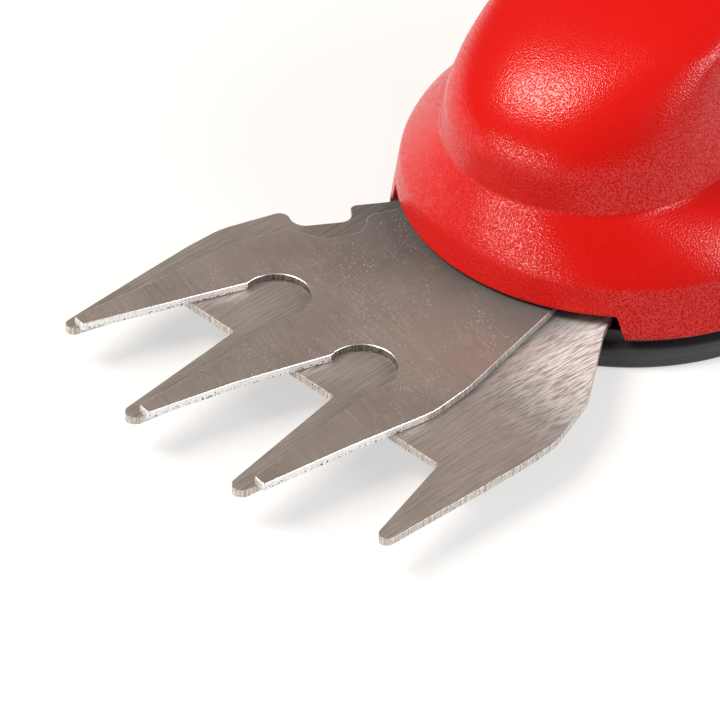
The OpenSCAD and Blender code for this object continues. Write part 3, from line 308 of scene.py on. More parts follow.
def blade_steel(name, dark, light, lay_deg, fleck_level, brushed_twice):
    material, tree = new_material(name)
    place = add(tree, "ShaderNodeTexCoord").outputs["Object"]
    streak = marks(tree, place, STREAK_LONG_MM, STREAK_WIDE_MM, lay_deg, 3.0)
    share = add(tree, "ShaderNodeMapRange", (streak, 0.3, 0.7, 0.0, 1.0), **EASED)
    brushed = add(tree, "ShaderNodeMix", (share, colour(dark), colour(light)), **COLOURS)
    blotch = marks(tree, place, CLOUD_MM, CLOUD_MM, 0, 4.0)
    cloud = add(tree, "ShaderNodeMapRange", (blotch, 0.3, 0.7, 0.84, 1.06), **EASED)
    clouded = add(tree, "ShaderNodeMix", (1.0, brushed, cloud), **TINT)
    unshaded = out_of_hood_shade(tree, place)
    # Painted shade: next to the hood the steel's colour is darkened to a cool grey, fading out with the
    # distance from the crank.
    painted_hood_shade = add(tree, "ShaderNodeMix", (unshaded, colour("#A9BCC0"), colour("#FFFFFF")), **COLOURS)
    steel = worn(tree, place, add(tree, "ShaderNodeMix", (1.0, clouded, painted_hood_shade), **TINT), fleck_level)
    gloss = add(tree, "ShaderNodeMapRange", (streak, 0.3, 0.7, 0.58, 0.46), **EASED)
    skin = add(tree, "ShaderNodeMapRange", (streak, 0.35, 0.65, 0.3, 0.6), **EASED)
    # Next to the hood the steel is also made less metallic.
    metal_near_hood = add(tree, "ShaderNodeMapRange", (unshaded, 0.0, 1.0, 0.4, 1.0), **EASED)
    bare = add(tree, "ShaderNodeMath", (skin, metal_near_hood), operation="MULTIPLY")
    relief = streak
    if brushed_twice:
        # The coarse strokes, their colour partly a painted highlight.
        patch, strokes, bright = coarse_brushing_and_highlight(tree, place, lay_deg)
        steel = add(tree, "ShaderNodeMix", (patch, steel, bright), **COLOURS)
        relief = add(tree, "ShaderNodeMix", (patch, streak, strokes))
        scattering = add(tree, "ShaderNodeMapRange", (patch, 0.0, 1.0, 1.0, 0.2), **EASED)
        bare = add(tree, "ShaderNodeMath", (bare, scattering), operation="MULTIPLY")
    bump = add(tree, "ShaderNodeBump", {
        "Height": relief, "Strength": 0.35, "Distance": BRUSH_DEPTH_MM * MM})
    shader = add(tree, "ShaderNodeBsdfPrincipled", {
        "Base Color": steel, "Roughness": gloss, "Metallic": bare, "Normal": bump})
    add(tree, "ShaderNodeOutputMaterial", {"Surface": shader})
    return material


LOWER_STEEL = blade_steel("Hardened steel strip, brushed lengthwise", "#7B7570", "#BDB4AC",
                          lay_deg=0, fleck_level=0.76, brushed_twice=True)
UPPER_STEEL = blade_steel("Hardened steel strip, fine brushed, rubbed", "#918781", "#A29890",
                          lay_deg=74, fleck_level=0.66, brushed_twice=False)
print("blade steels:", LOWER_STEEL.name, "and", UPPER_STEEL.name)

# %% [markdown]
# ## Ground, sheared and dark edges
# A grinding wheel has cut the flanks of the upper teeth, so they are much brighter than the faces, with
# upright grinding lines, and with pits where the wheel missed the stamped edge, most of them low down.
# The rounded rims along their edges are coloured near white, a painted highlight. The round feet of the
# gaps were not ground and are still dark from hardening, and the other stamped edges are duller and
# striped by the shearing tool. Each could have its own recipe, but they differ only in two tones, in pits,
# in roughness and in bare metal.

# %% Edge materials
LINE_WIDE_MM, LINE_LONG_MM, LINE_DEPTH_MM, PIT_MM = 0.3, 5.0, 0.03, 0.5
# Heights on the upper blade's edge between which the pits thin out
PITS_MANY_MM, PITS_FEW_MM = 11.1, 12.9


def edge_steel(name, dark, light, pit_share, roughness, metallic):
    material, tree = new_material(name)
    place = add(tree, "ShaderNodeTexCoord").outputs["Object"]
    size = per_mm(LINE_WIDE_MM, LINE_WIDE_MM, LINE_LONG_MM)
    upright = add(tree, "ShaderNodeMapping", {"Vector": place, "Scale": size})
    line = add(tree, "ShaderNodeTexNoise", {"Vector": upright, "Scale": 1.0, "Detail": 3.0})
    share = add(tree, "ShaderNodeMapRange", (line, 0.3, 0.62, 0.0, 1.0), **EASED)
    tone = add(tree, "ShaderNodeMix", (share, colour(dark), colour(light)), **COLOURS)
    spots = add(tree, "ShaderNodeMapping", {"Vector": place, "Scale": per_mm(PIT_MM)})
    spot = add(tree, "ShaderNodeTexNoise", {"Vector": spots, "Scale": 1.0, "Detail": 3.0, "Roughness": 0.7})
    height = add(tree, "ShaderNodeSeparateXYZ", (place,)).outputs["Z"]
    limits = (PITS_MANY_MM * MM, PITS_FEW_MM * MM)
    missed = add(tree, "ShaderNodeMapRange", (height, *limits, 0.1, -0.08), **EASED)
    lifted = add(tree, "ShaderNodeMath", (spot, missed), operation="ADD")
    pit = add(tree, "ShaderNodeMapRange", (lifted, 1 - pit_share, 1.06 - pit_share, 0.0, 1.0), **EASED)
    pitted = add(tree, "ShaderNodeMix", (pit, tone, colour("#3A3431")), **COLOURS)
    bump = add(tree, "ShaderNodeBump", {"Height": line, "Strength": 0.6, "Distance": LINE_DEPTH_MM * MM})
    shader = add(tree, "ShaderNodeBsdfPrincipled", {
        "Base Color": pitted, "Roughness": roughness, "Metallic": metallic, "Normal": bump})
    add(tree, "ShaderNodeOutputMaterial", {"Surface": shader})
    return material


# Each has a dark and a light tone, the share that is pitted, roughness and metallic.
# Cut by the wheel: nearly white, with dark pits
GROUND_EDGE = edge_steel("Steel, ground cutting edge", "#EFECE9", "#FFFFFF", 0.38, 0.34, 0.6)
# Torn by the stamping tool: dull and striped
SHEARED_EDGE = edge_steel("Steel, sheared edge", "#A79D96", "#E2DAD3", 0.3, 0.46, 0.7)
# Scale from hardening: dark, with little shine
BLACK_EDGE = edge_steel("Steel, edge left dark from hardening", "#433D39", "#8A8079", 0.4, 0.55, 0.5)
# The rounded rim, coloured near white as a painted highlight: a thin bright line
PAINTED_HIGHLIGHT_RIM = edge_steel("Steel, rim with painted highlight", "#E2DDD8", "#FFFFFF", 0.25, 0.35, 1.0)
print("edges:", [edge.name for edge in (GROUND_EDGE, SHEARED_EDGE, BLACK_EDGE, PAINTED_HIGHLIGHT_RIM)])

# %% [markdown]
# ## Turned, plated and drawn metals
# Screws, shafts, springs, bushes and the motor hardly show, but they are finished too. Turning leaves
# fine rings across the part and plating adds a cloudy tint. Rings could be modelled, but they are far too
# fine for that, so one recipe takes two tones, a roughness and the size of the lay.

# %% Small metal parts
RING_ROUND_MM, RING_GLOSS = 3.0, 0.08


def turned(name, dark, light, roughness, lay_mm):
    material, tree = new_material(name)
    place = add(tree, "ShaderNodeTexCoord").outputs["Object"]
    size = per_mm(RING_ROUND_MM, RING_ROUND_MM, lay_mm)
    cells = add(tree, "ShaderNodeMapping", {"Vector": place, "Scale": size})
    rings = add(tree, "ShaderNodeTexNoise", {"Vector": cells, "Scale": 1.0, "Detail": 3.0})
    tone = add(tree, "ShaderNodeMix", (rings, colour(dark), colour(light)), **COLOURS)
    gloss = add(tree, "ShaderNodeMapRange", {
        "Value": rings, "To Min": roughness - RING_GLOSS, "To Max": roughness + RING_GLOSS})
    shader = add(tree, "ShaderNodeBsdfPrincipled", {"Base Color": tone, "Roughness": gloss, "Metallic": 1.0})
    add(tree, "ShaderNodeOutputMaterial", {"Surface": shader})
    return material


# Each has a dark and a light tone, roughness and the spacing of its lay in millimetres.
# A cool, cloudy grey
ZINC = turned("Steel, zinc plated", "#8D9092", "#B3B6B8", 0.36, 0.4)
# Close rings and clear highlights
BRIGHT = turned("Steel, ground bright", "#A5A7A9", "#C6C8CA", 0.25, 0.1)
# Darker, with a drawn sheen
SPRING = turned("Spring steel wire, drawn", "#74777B", "#94979B", 0.32, 0.2)
# A soft, porous yellow brown
BRONZE = turned("Sintered bronze", "#9B7330", "#C09545", 0.42, 0.3)
# Clear enamel over copper: a warm orange shine
COPPER = turned("Copper winding, enamelled", "#97522C", "#BE7343", 0.35, 0.35)
print("materials:", len(bpy.data.materials))

# %% [markdown]
# ## Dress the small CAD nodes
# Nodes whose solids are already right stay as they are and only get a finish. They could be modelled
# again, but most are hidden. The controls and the screws that show get a Weld and a small Bevel modifier,
# which take the razor edges off: no real edge is perfectly sharp, and a rounded one catches a line of
# light.

# %% Finishes for carried-over nodes
FINISHES = {
    ZINC: "base_screws blade_screws pivot_bolt pivot_washer pivot_nut motor_can motor_screws housing_screws",
    BRIGHT: "crank_shaft crank_pin idler_axle motor_shaft trigger_pin cell_straps",
    BRONZE: "crank_roller crank_bush motor_pinion",
    COPPER: "armature",
    ACETAL: "crank_gear idler_gear motor_end_cap",
    GREY: "gear_case cell_holder",
    BLACK: "trigger lock_button switch charge_socket",
    FERRITE: "motor_magnets",
    WRAP: "battery_cells",
    BOARD: "control_board",
    RED_LEAD: "motor_wires",
    BLACK_LEAD: "battery_wires",
}
ROUNDED_MM = {
    "trigger": 0.9, "lock_button": 0.7, "charge_socket": 0.3, "housing_screws": 0.2, "base_screws": 0.2,
}
WELD_MM = 0.001


def round_edges(obj, width_mm, segments, from_deg):
    bevel = obj.modifiers.new("edges", "BEVEL")
    bevel.width = width_mm * MM
    bevel.segments = segments
    bevel.limit_method = "ANGLE"
    bevel.angle_limit = math.radians(from_deg)


for finish, nodes in FINISHES.items():
    for node in nodes.split():
        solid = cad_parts[node]
        solid.data.materials.clear()
        solid.data.materials.append(finish)
        if node in ROUNDED_MM:
            solid.modifiers.new("weld", "WELD").merge_threshold = WELD_MM * MM
            round_edges(solid, ROUNDED_MM[node], segments=3, from_deg=40)
print("dressed nodes:", sum(len(nodes.split()) for nodes in FINISHES.values()))

# %% [markdown]
# ## Making a piece
# Every modelled piece goes through one function: it takes points in millimetres and faces, makes the
# mesh, sets its materials and shading, and says which CAD body it rides on and which CAD node it stands
# for. The pieces could be pushed and pulled by hand, but points that come from formulas can be made again
# at any fineness.

# %% Piece helper
def piece(name, points_mm, faces, materials, body, node, slot, smooth_deg=35):
    mesh = bpy.data.meshes.new(name)
    mesh.from_pydata([tuple(c * MM for c in p) for p in points_mm], [], faces)
    mesh.validate()
    for material in materials:
        mesh.materials.append(material)
    obj = bpy.data.objects.new(name, mesh)
    scene.collection.objects.link(obj)
    mesh.shade_smooth()
    mesh.set_sharp_from_angle(angle=math.radians(smooth_deg))
    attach(obj, body)
    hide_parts(node)
    return obj


def mirrored(points, faces):
    """The same solid on the other side of the middle plane, with its faces turned to look outwards again."""
    return points * (1, -1, 1), [tuple(reversed(face)) for face in faces]


print("piece helper ready")

# %% [markdown]
# Bosses, recesses and holes are added or cut with closed solids, as on a milling machine. A Boolean
# modifier does that with a helper object. The result is then made the piece's own mesh, so that the
# helper can go.

# %% Cutting helpers
def bake(obj):
    bpy.context.view_layer.update()
    made = bpy.data.meshes.new_from_object(obj.evaluated_get(bpy.context.evaluated_depsgraph_get()))
    obj.modifiers.clear()
    obj.data = made


def carve(obj, solids, operation="DIFFERENCE"):
    """Takes closed solids, given as points in millimetres and faces, out of a piece, or adds them to it."""
    points, faces = [], []
    for solid_points, solid_faces in solids:
        faces += [tuple(len(points) + i for i in face) for face in solid_faces]
        points += [tuple(c * MM for c in p) for p in solid_points]
    mesh = bpy.data.meshes.new("tool")
    mesh.from_pydata(points, [], faces)
    helper = bpy.data.objects.new("tool", mesh)
    scene.collection.objects.link(helper)
    step = obj.modifiers.new("carve", "BOOLEAN")
    step.operation = operation
    step.solver = "EXACT"
    step.object = helper
    bake(obj)
    bpy.data.objects.remove(helper)


def rod(start, end, radius, sides=48):
    """Closed round bar between two points in millimetres."""
    a, b = np.array(start, float), np.array(end, float)
    axis = (b - a) / np.linalg.norm(b - a)
    side = np.cross(axis, (1, 0, 0) if abs(axis[0]) < 0.9 else (0, 1, 0))
    side /= np.linalg.norm(side)
    other = np.cross(axis, side)
    turns = [2 * math.pi * i / sides for i in range(sides)]
    ring = [radius * (math.cos(t) * side + math.sin(t) * other) for t in turns]
    points = [a + r for r in ring] + [b + r for r in ring]
    faces = [(i, (i + 1) % sides, sides + (i + 1) % sides, sides + i) for i in range(sides)]
    faces += [tuple(reversed(range(sides))), tuple(range(sides, 2 * sides))]
    return points, faces


def drill(x, y, low, high, radius, sides=48):
    return rod((x, y, low), (x, y, high), radius, sides)


print("cutting helpers ready")

# %% [markdown]
# ## The housing's shape
# The red housing is two half shells that meet on the middle plane. It could be modelled with subdivided
# boxes, but a designer would loft it from sections: round at the head, drawn in to a crease, then a tower
# whose sections turn over like a fan until they stand upright and run back as the handle. Here each
# section is a half ring of points, from 0 degrees at the front or top round to 180 degrees at the rear or
# underside, and `w` is how far inside the outer skin it lies. The same formulas made the CAD solids; more
# rings give a smoother skin.

# %% Curve helpers
def mix(a, b, s):
    return a + (b - a) * s


def smooth(s):
    k = np.clip(s, 0, 1)
    return k * k * (3 - 2 * k)


def oval(centre, front, rear, t):
    return centre + np.where(np.cos(t) > 0, front, rear) * np.cos(t)


print("halfway up a smooth step:", smooth(0.5))

# %% [markdown]
# The head is a band with a little draft, so that it comes out of its mould, with a wide slot in its lower
# edge for the blades. Above it a shoulder draws in to the crease, steeply in front and fuller behind.

# %% Head sections
HOOD_R, HOOD_Z, WALL = 51.2, 8.1, 2.5
SLOT_Z, SLOT_HALF_DEG, SLOT_EASE_DEG = 13.85, 43.0, 3
BAND_DRAFT, BAND_TOP = 1.6, SLOT_Z + 6.2
CREASE_R, CREASE_X, CREASE_Z = 33.0, 11.5, 34.0
FRONT_FULLNESS, REAR_FULLNESS, FULLNESS_DEG = 1.15, 2.4, 70
TOWER_REAR_X = -44.0


def edge_height(t):
    into_slot = (math.radians(SLOT_HALF_DEG) - t) / math.radians(SLOT_EASE_DEG)
    return mix(HOOD_Z, SLOT_Z, smooth(into_slot + 0.5))


def band_ring(t, z, w):
    r = HOOD_R - BAND_DRAFT * (z - HOOD_Z) / (BAND_TOP - HOOD_Z) - w
    return np.stack([r * np.cos(t), r * np.sin(t), z + 0 * t], axis=-1)


def shoulder_ring(t, s, w):
    behind = smooth((np.degrees(t) - SLOT_HALF_DEG) / FULLNESS_DEG)
    k = s ** mix(FRONT_FULLNESS, REAR_FULLNESS, behind)
    r = HOOD_R - BAND_DRAFT
    front = mix(r, CREASE_R, k) - w
    x = oval(CREASE_X * k, front, mix(r, CREASE_X - TOWER_REAR_X, k) - w, t)
    return np.stack([x, front * np.sin(t), mix(BAND_TOP, CREASE_Z, s) + 0 * t], axis=-1)


print("the head is", 2 * HOOD_R, "mm across and its crease", CREASE_Z, "mm up")

# %% [markdown]
# The tower's sections turn about a line across the tool at the start of the handle, from lying flat on
# the crease to standing upright at the neck. Their far end runs along an ellipse, which gives the tower's
# front and top their curve.

# %% Tower sections
TOWER_X, TOWER_Z, TOWER_LEN, TOWER_RISE, TOWER_HALF_W = 44.3, 40.0, 115.3, 40.0, 31.8
HANDLE_X = TOWER_X - TOWER_LEN
NECK_H, NECK_W = 36.0, 40.0
LEAST_FRONT = 0.4 * NECK_H


def tower_ring(t, turn, w):
    s = float(smooth(turn / 90))
    a = math.radians(turn)
    far = TOWER_LEN * TOWER_RISE / math.hypot(TOWER_RISE * math.cos(a), TOWER_LEN * math.sin(a)) - w
    near = mix(TOWER_REAR_X - HANDLE_X, TOWER_RISE - NECK_H, s) + w
    mid = min(mix(CREASE_X - HANDLE_X, TOWER_RISE - NECK_H / 2, s), far - LEAST_FRONT)
    d = oval(mid, far - mid, mid - near, t)
    half = mix(TOWER_HALF_W, NECK_W / 2, math.sin(a)) - w
    return np.stack([HANDLE_X + d * math.cos(a), half * np.sin(t), TOWER_Z + d * math.sin(a)], axis=-1)


def foot_ring(t, s, w):
    return mix(shoulder_ring(t, 1, w), tower_ring(t, 0, w), s)


print("handle starts at X", HANDLE_X)

# %% [markdown]
# The handle swells to fill the palm. Its sections are ovals whose middle, half height and half width
# follow a smooth curve through a few rows, one every 25 mm. Where the trigger and the lock-off button
# come through, the half rings stop short of the middle plane, which leaves a slot between the two halves.

# %% Handle sections
HANDLE_LEN, HANDLE_ZC, PALM_H, PALM_W = 125.0, 62.0, 45.2, 35.6
HANDLE_LINE = np.array([
    (HANDLE_ZC, NECK_H / 2, NECK_W / 2),
    (HANDLE_ZC - 0.8, NECK_H / 2 + 0.2, PALM_W / 2 - 0.3),
    (HANDLE_ZC - 1.9, PALM_H / 2 - 0.6, PALM_W / 2 - 0.4),
    (HANDLE_ZC - 2.4, PALM_H / 2, PALM_W / 2),
    (HANDLE_ZC - 2.4, PALM_H / 2 - 0.3, PALM_W / 2 - 0.2),
    (HANDLE_ZC - 2.2, PALM_H / 2 - 1.4, PALM_W / 2 - 1.2),
])
SPANS = len(HANDLE_LINE) - 1
# Start and end of each slot, behind the start of the handle, and its half width
TRIGGER_SLOT, LOCK_SLOT = (4.6, 44.0, 7.0), (11.0, 23.0, 6.0)
SLOT_BLEND = math.radians(45)


def handle_row(d):
    u = min(SPANS - 0.01, max(0.0, d / HANDLE_LEN * SPANS))
    i = int(u)
    s = u - i
    a, b, c, e = (HANDLE_LINE[min(SPANS, max(0, k))] for k in (i - 1, i, i + 1, i + 2))
    bend, twist = 2 * a - 5 * b + 4 * c - e, 3 * (b - c) + e - a
    return b + (c - a) * (s / 2) + bend * (s * s / 2) + twist * (s ** 3 / 2)


def handle_ring(t, d, w):
    zc, half_h, half_w = handle_row(d)
    start, short = (math.asin(half_slot / (half_w - w)) if first < d < last else 0
                    for first, last, half_slot in (LOCK_SLOT, TRIGGER_SLOT))
    a = t + start * (1 - smooth(t / SLOT_BLEND)) - short * (1 - smooth((math.pi - t) / SLOT_BLEND))
    return np.stack([HANDLE_X - d + 0 * t, (half_w - w) * np.sin(a), zc + (half_h - w) * np.cos(a)], axis=-1)


print("handle rows:", [np.round(handle_row(d), 1).tolist() for d in (0, 60, 120)])

# %% [markdown]
# The handle ends in a round tail, drawn in to the hole of the charge socket. It could be a scaled half
# sphere, but rings that shrink as they run back join the handle without a step.

# %% Tail sections
SOCKET_HOLE, TAIL_REACH, TAIL_START, TAIL_FULLNESS = 6.2, 9.0, HANDLE_LEN - 4, 0.8


def tail_ring(t, s, w):
    zc, half_h, half_w = handle_row(HANDLE_LEN)
    d = TAIL_START + (TAIL_REACH - w) * math.sin(math.pi / 2 * s)
    k = math.cos(math.pi / 2 * s) ** TAIL_FULLNESS
    return np.stack([HANDLE_X - d + 0 * t, mix(SOCKET_HOLE, half_w - w, k) * np.sin(t),
                     zc + mix(SOCKET_HOLE, half_h - w, k) * np.cos(t)], axis=-1)


print("tail ends at X", HANDLE_X - TAIL_START - TAIL_REACH)

# %% [markdown]
# ## Lofting a half
# All rings have their points at the same angles, so that rings next to each other join by quads. Even
# steps would do for a plain shape, but here the points crowd where the shape is fine: at the middle
# plane, where the halves meet, and round the corners of the slot that the blades come out of.

# %% Rings of the housing
SEAM_DEG = [0, 0.12, 0.25, 0.4, 0.6, 0.9, 1.4, 2.2]
EDGE_ROUNDING = ((0, 0.4), (0.1, 0.12), (0.4, 0))
SLOT_END_STEP = 0.05


def half_angles():
    near = np.radians(SEAM_DEG)
    front = np.radians(np.linspace(3.5, SLOT_HALF_DEG - 4, 24))
    corner = np.radians(SLOT_HALF_DEG + np.linspace(-SLOT_EASE_DEG, SLOT_EASE_DEG, 19))
    rear = np.radians(np.linspace(SLOT_HALF_DEG + 5, 176, 58))
    return np.concatenate([near, front, corner, rear, math.pi - near[::-1]])


def housing_rings(w):
    t = half_angles()
    edge = edge_height(t)
    rings = [band_ring(t, edge + lift, w + inset) for lift, inset in EDGE_ROUNDING]
    rings += [band_ring(t, mix(edge + 0.8, BAND_TOP, s), w) for s in (0, 0.3, 0.6, 0.9, 0.95)]
    rings += [shoulder_ring(t, s, w) for s in (0.03, 0.06, *np.linspace(0.1, 0.9, 24), 0.94, 0.97)]
    rings += [foot_ring(t, s, w) for s in (0.05, 0.12, 0.3, 0.6, 0.9)]
    rings += [tower_ring(t, 90 * s ** 1.3, w) for s in np.linspace(0.02, 1, 90)]
    slot_ends = [end for slot in (TRIGGER_SLOT, LOCK_SLOT) for end in slot[:2]]
    steps = [end + step for end in slot_ends for step in (-SLOT_END_STEP, SLOT_END_STEP)]
    rings += [handle_ring(t, d, w) for d in sorted([*np.linspace(2, TAIL_START, 70), *steps])]
    rings += [tail_ring(t, s, w) for s in np.linspace(0.08, 1, 14)]
    return rings


print("points per ring:", len(half_angles()))

# %% [markdown]
# Two moulded halves always meet in a fine shadow line. It could be a dark stripe in the material, but a
# skin that dips there by a fraction of a millimetre catches the light as the real seam does. At the head
# it is almost closed.

# %% Seam
SEAM_DEPTH, SEAM_WIDTH, SEAM_AT_HEAD, SEAM_OPENS_OVER = 0.14, 0.16, 0.12, 50


def dip_seam(rings):
    """Draws the skin in towards each ring's middle close to the plane where the halves meet."""
    for ring in rings:
        middle = (ring[0] + ring[-1]) / 2
        inward = middle - ring
        inward /= np.linalg.norm(inward, axis=1)[:, None] + 1e-9
        open_share = mix(SEAM_AT_HEAD, 1, smooth(-ring[:, 0] / SEAM_OPENS_OVER))
        depth = SEAM_DEPTH * open_share * np.exp(-(ring[:, 1] / SEAM_WIDTH) ** 2)
        y = ring[:, 1].copy()
        ring += inward * depth[:, None]
        ring[:, 1] = y
    return rings


print("seam", SEAM_DEPTH, "mm deep")

# %% [markdown]
# The rings are joined by quads, once for the outer skin and once, a wall's thickness inside, for the
# inner skin, and strips close the edges. A Solidify modifier would give a wall too, but it can fold over
# itself in a crease.

# %% Loft the two halves
def loft_wall(outer, inner):
    n, rows = len(outer[0]), len(outer)
    points = np.concatenate([*outer, *inner])
    skip = rows * n
    corners = [(r * n + i, r * n + i + 1, (r + 1) * n + i + 1, (r + 1) * n + i)
               for r in range(rows - 1) for i in range(n - 1)]
    faces = corners + [(skip + a, skip + d, skip + c, skip + b) for a, b, c, d in corners]
    last, last_in = (rows - 1) * n, skip + (rows - 1) * n
    faces += [(i, skip + i, skip + i + 1, i + 1) for i in range(n - 1)]
    faces += [(last + i, last + i + 1, last_in + i + 1, last_in + i) for i in range(n - 1)]
    for r in range(rows - 1):
        a, b = r * n, (r + 1) * n
        faces += [(a, b, skip + b, skip + a), (b + n - 1, a + n - 1, skip + a + n - 1, skip + b + n - 1)]
    return points, faces


shell = loft_wall(dip_seam(housing_rings(0)), housing_rings(WALL))
piece("housing_left_shell", *shell, [RED], "housing", "housing_left", "red_plastic")
housing_right = piece("housing_right_shell", *mirrored(*shell), [RED], "housing", "housing_right",
                      "red_plastic")
print("housing points per half:", len(shell[0]))

# %% [markdown]
# Four screws hold the halves together. They go in from the right, through deep round recesses, so that
# half gets a boss for each screw and then the recess cut down to where the screw's head sits.

# %% Screw recesses
BOSS_R, RECESS_R, BOSS_FOOT, PAST_SKIN = 3.8, 2.9, 0.5, 10
SCREWS = [  # place along X, height, how far the boss reaches out, how far out the head sits
    (26, 46.5, 23.5, 19),
    (HANDLE_X - 5.4, HANDLE_ZC + 7.5, 14, 11),
    (HANDLE_X - 45.6, HANDLE_ZC - 1.5, 15.6, 11),
    (HANDLE_X - 122.5, HANDLE_ZC + 8.8, 11, 8),
]
bosses = [rod((x, -BOSS_FOOT, z), (x, -reach, z), BOSS_R) for x, z, reach, seat in SCREWS]
recesses = [rod((x, -seat, z), (x, -reach - PAST_SKIN, z), RECESS_R) for x, z, reach, seat in SCREWS]
carve(housing_right, bosses, "UNION")
carve(housing_right, recesses)
print("right half faces:", len(housing_right.data.polygons))

# %% [markdown]
# ## Base
# The black base is a round moulding: a rim, a lip and a groove under the red hood. A cylinder with bevels
# could stand for it, but one profile swept round the crank's axis has each step at its real height, with
# a small rounding at each corner so that the black rim draws a thin line of light. The pockets for the
# base screws and for the pivot's nut are cut into its underside.

# %% Base
BASE_PROFILE = [
    (0, 0), (49.6, 0), (50.4, 0.25), (50.85, 0.75), (51, 1.2), (51, 2.9), (51.1, 3.15), (51.35, 3.4),
    (51.5, 3.7), (51.5, 5.3), (51.4, 5.6), (51.1, 5.78), (50.7, 5.8), (48.9, 5.8), (48.6, 5.9), (48.5, 6.2),
    (48.5, 8.9), (48.3, 9.1), (0, 9.1),
]
BASE_SIDES, BELOW_BASE = 240, -1
SCREW_SPOTS = [(-12, 32), (-12, -32), (-39, 0), (-30.28, 32.47), (-30.28, -32.47)]
SCREW_POCKET_R, SCREW_POCKET_TOP = 3.8, 2.8
NUT_POCKET_R, NUT_POCKET_TOP, NUT_SIDES = 7.16, 4.6, 6


def lathe(profile, sides):
    points = [(0, 0, profile[0][1])]
    for i in range(sides):
        t = 2 * math.pi * i / sides
        points += [(r * math.cos(t), r * math.sin(t), z) for r, z in profile[1:-1]]
    points.append((0, 0, profile[-1][1]))
    n = len(profile) - 2
    faces = []
    for i in range(sides):
        a, b = 1 + i * n, 1 + (i + 1) % sides * n
        faces += [(a + k, b + k, b + k + 1, a + k + 1) for k in range(n - 1)]
        faces += [(0, b, a), (len(points) - 1, a + n - 1, b + n - 1)]
    return points, faces


base = piece("base_dish", *lathe(BASE_PROFILE, BASE_SIDES), [BLACK], "housing", "base_plate",
             "black_plastic")
nut = sum(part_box("pivot_nut"), Vector()) / 2 / MM
pockets = [drill(x, y, BELOW_BASE, SCREW_POCKET_TOP, SCREW_POCKET_R) for x, y in SCREW_SPOTS]
pockets.append(drill(nut.x, nut.y, BELOW_BASE, NUT_POCKET_TOP, NUT_POCKET_R, NUT_SIDES))
carve(base, pockets)
print("base cut for", len(pockets), "pockets")

# %% [markdown]
# ## Blades
# Each blade is stamped from flat strip: an outline with thickness. The outline could be a list of many
# points, but a list of corners with a rounding for each says where the blade bends, and a function draws
# the arcs.

# %% Rounded outlines
ARC_STEP_DEG, LONGEST_SHARE = 7, 0.49


def rounded(corners):
    """Outline through (x, y, radius) corners, each replaced by an arc that touches both its sides."""
    outline = []
    for i, (x, y, radius) in enumerate(corners):
        here = np.array((x, y), float)
        before = np.array(corners[i - 1][:2], float) - here
        after = np.array(corners[(i + 1) % len(corners)][:2], float) - here
        if radius <= 0:
            outline.append(tuple(here))
            continue
        to_before, to_after = np.linalg.norm(before), np.linalg.norm(after)
        u, v = before / to_before, after / to_after
        between = math.acos(max(-1, min(1, float(u @ v))))
        reach = min(radius / math.tan(between / 2), LONGEST_SHARE * to_before, LONGEST_SHARE * to_after)
        radius = reach * math.tan(between / 2)
        middle = here + (u + v) / np.linalg.norm(u + v) * radius / math.sin(between / 2)
        first, last = here + u * reach - middle, here + v * reach - middle
        sweep = math.pi - between
        side = 1 if first[0] * last[1] - first[1] * last[0] > 0 else -1
        steps = max(2, int(math.degrees(sweep) / ARC_STEP_DEG))
        for k in range(steps + 1):
            a = side * sweep * k / steps
            outline.append((middle[0] + first[0] * math.cos(a) - first[1] * math.sin(a),
                            middle[1] + first[0] * math.sin(a) + first[1] * math.cos(a)))
    return outline


def mirrored_corners(corners):
    return [(x, -y, r) for x, y, r in reversed(corners)]


print("a rounded square has", len(rounded([(0, 0, 1), (9, 0, 1), (9, 9, 1), (0, 9, 1)])), "points")

# %% [markdown]
# The outline is given its thickness and its holes, and then a fine rounding along its edges. Only the
# rounding and the upright edge are shaded smooth: a stamped face is flat.

# %% Plates
# How level a face lies is the upright share of its normal, and a flat one has at least this much
FLAT = 0.99


def plate(outline, low, high):
    """Closed solid of an outline between two heights; its faces are the bottom, the top, then the edge."""
    n = len(outline)
    points = [(x, y, low) for x, y in outline] + [(x, y, high) for x, y in outline]
    faces = [tuple(reversed(range(n))), tuple(range(n, 2 * n))]
    faces += [(i, (i + 1) % n, n + (i + 1) % n, n + i) for i in range(n)]
    return points, faces


def soften(obj, width_mm):
    round_edges(obj, width_mm, segments=2, from_deg=50)
    bake(obj)
    for face in obj.data.polygons:
        face.use_smooth = abs(face.normal.z) < FLAT


print("plates ready")

# %% [markdown]
# The lower blade has four teeth that taper to round tips. It is drawn as its left half and mirrored, and
# then its right edge gets a notch, such as a strip is held by while it is stamped. The pivot and two
# screws go through it.

# %% Lower blade
LOW_Z = [c / MM for c in (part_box("lower_blade")[0].z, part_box("lower_blade")[1].z)]
ROOT_X, LOW_SHOULDER_X = 98.2, 60
PIVOT_X, LOW_PIVOT_R = 26.0, 4.0
BLADE_SCREW_X, BLADE_SCREW_Y, BLADE_SCREW_R = 6, 22, 2.0
DRILL_LOW, DRILL_HIGH = 5, 14
LOW_FACE, LOW_EDGE, FACE_UP = 0, 1, 0.9
low_left = [
    (ROOT_X, 8.7, 0.9), (132.9, 14.2, 1.9), (134.6, 16.3, 1.4), (132.9, 18.4, 1.9), (ROOT_X, 21.9, 0.9),
    (ROOT_X, 39.6, 0.9), (122.2, 46.1, 1.5), (123.4, 47.8, 1.2), (122.2, 49.4, 1.5), (98, 50.75, 60),
    (84, 51.35, 20), (75, 51.1, 14), (LOW_SHOULDER_X, 46.3, 16), (40.2, 32.6, 12), (30, 28, 6), (8, 28, 4),
    (-4, 16, 4),
]
low_right = mirrored_corners(low_left)
low_notch = [(47.9, -37.7, 1.6), (51.3, -33.0, 4.2), (62.4, -40.4, 4.4), (59.6, -46.2, 2.4)]
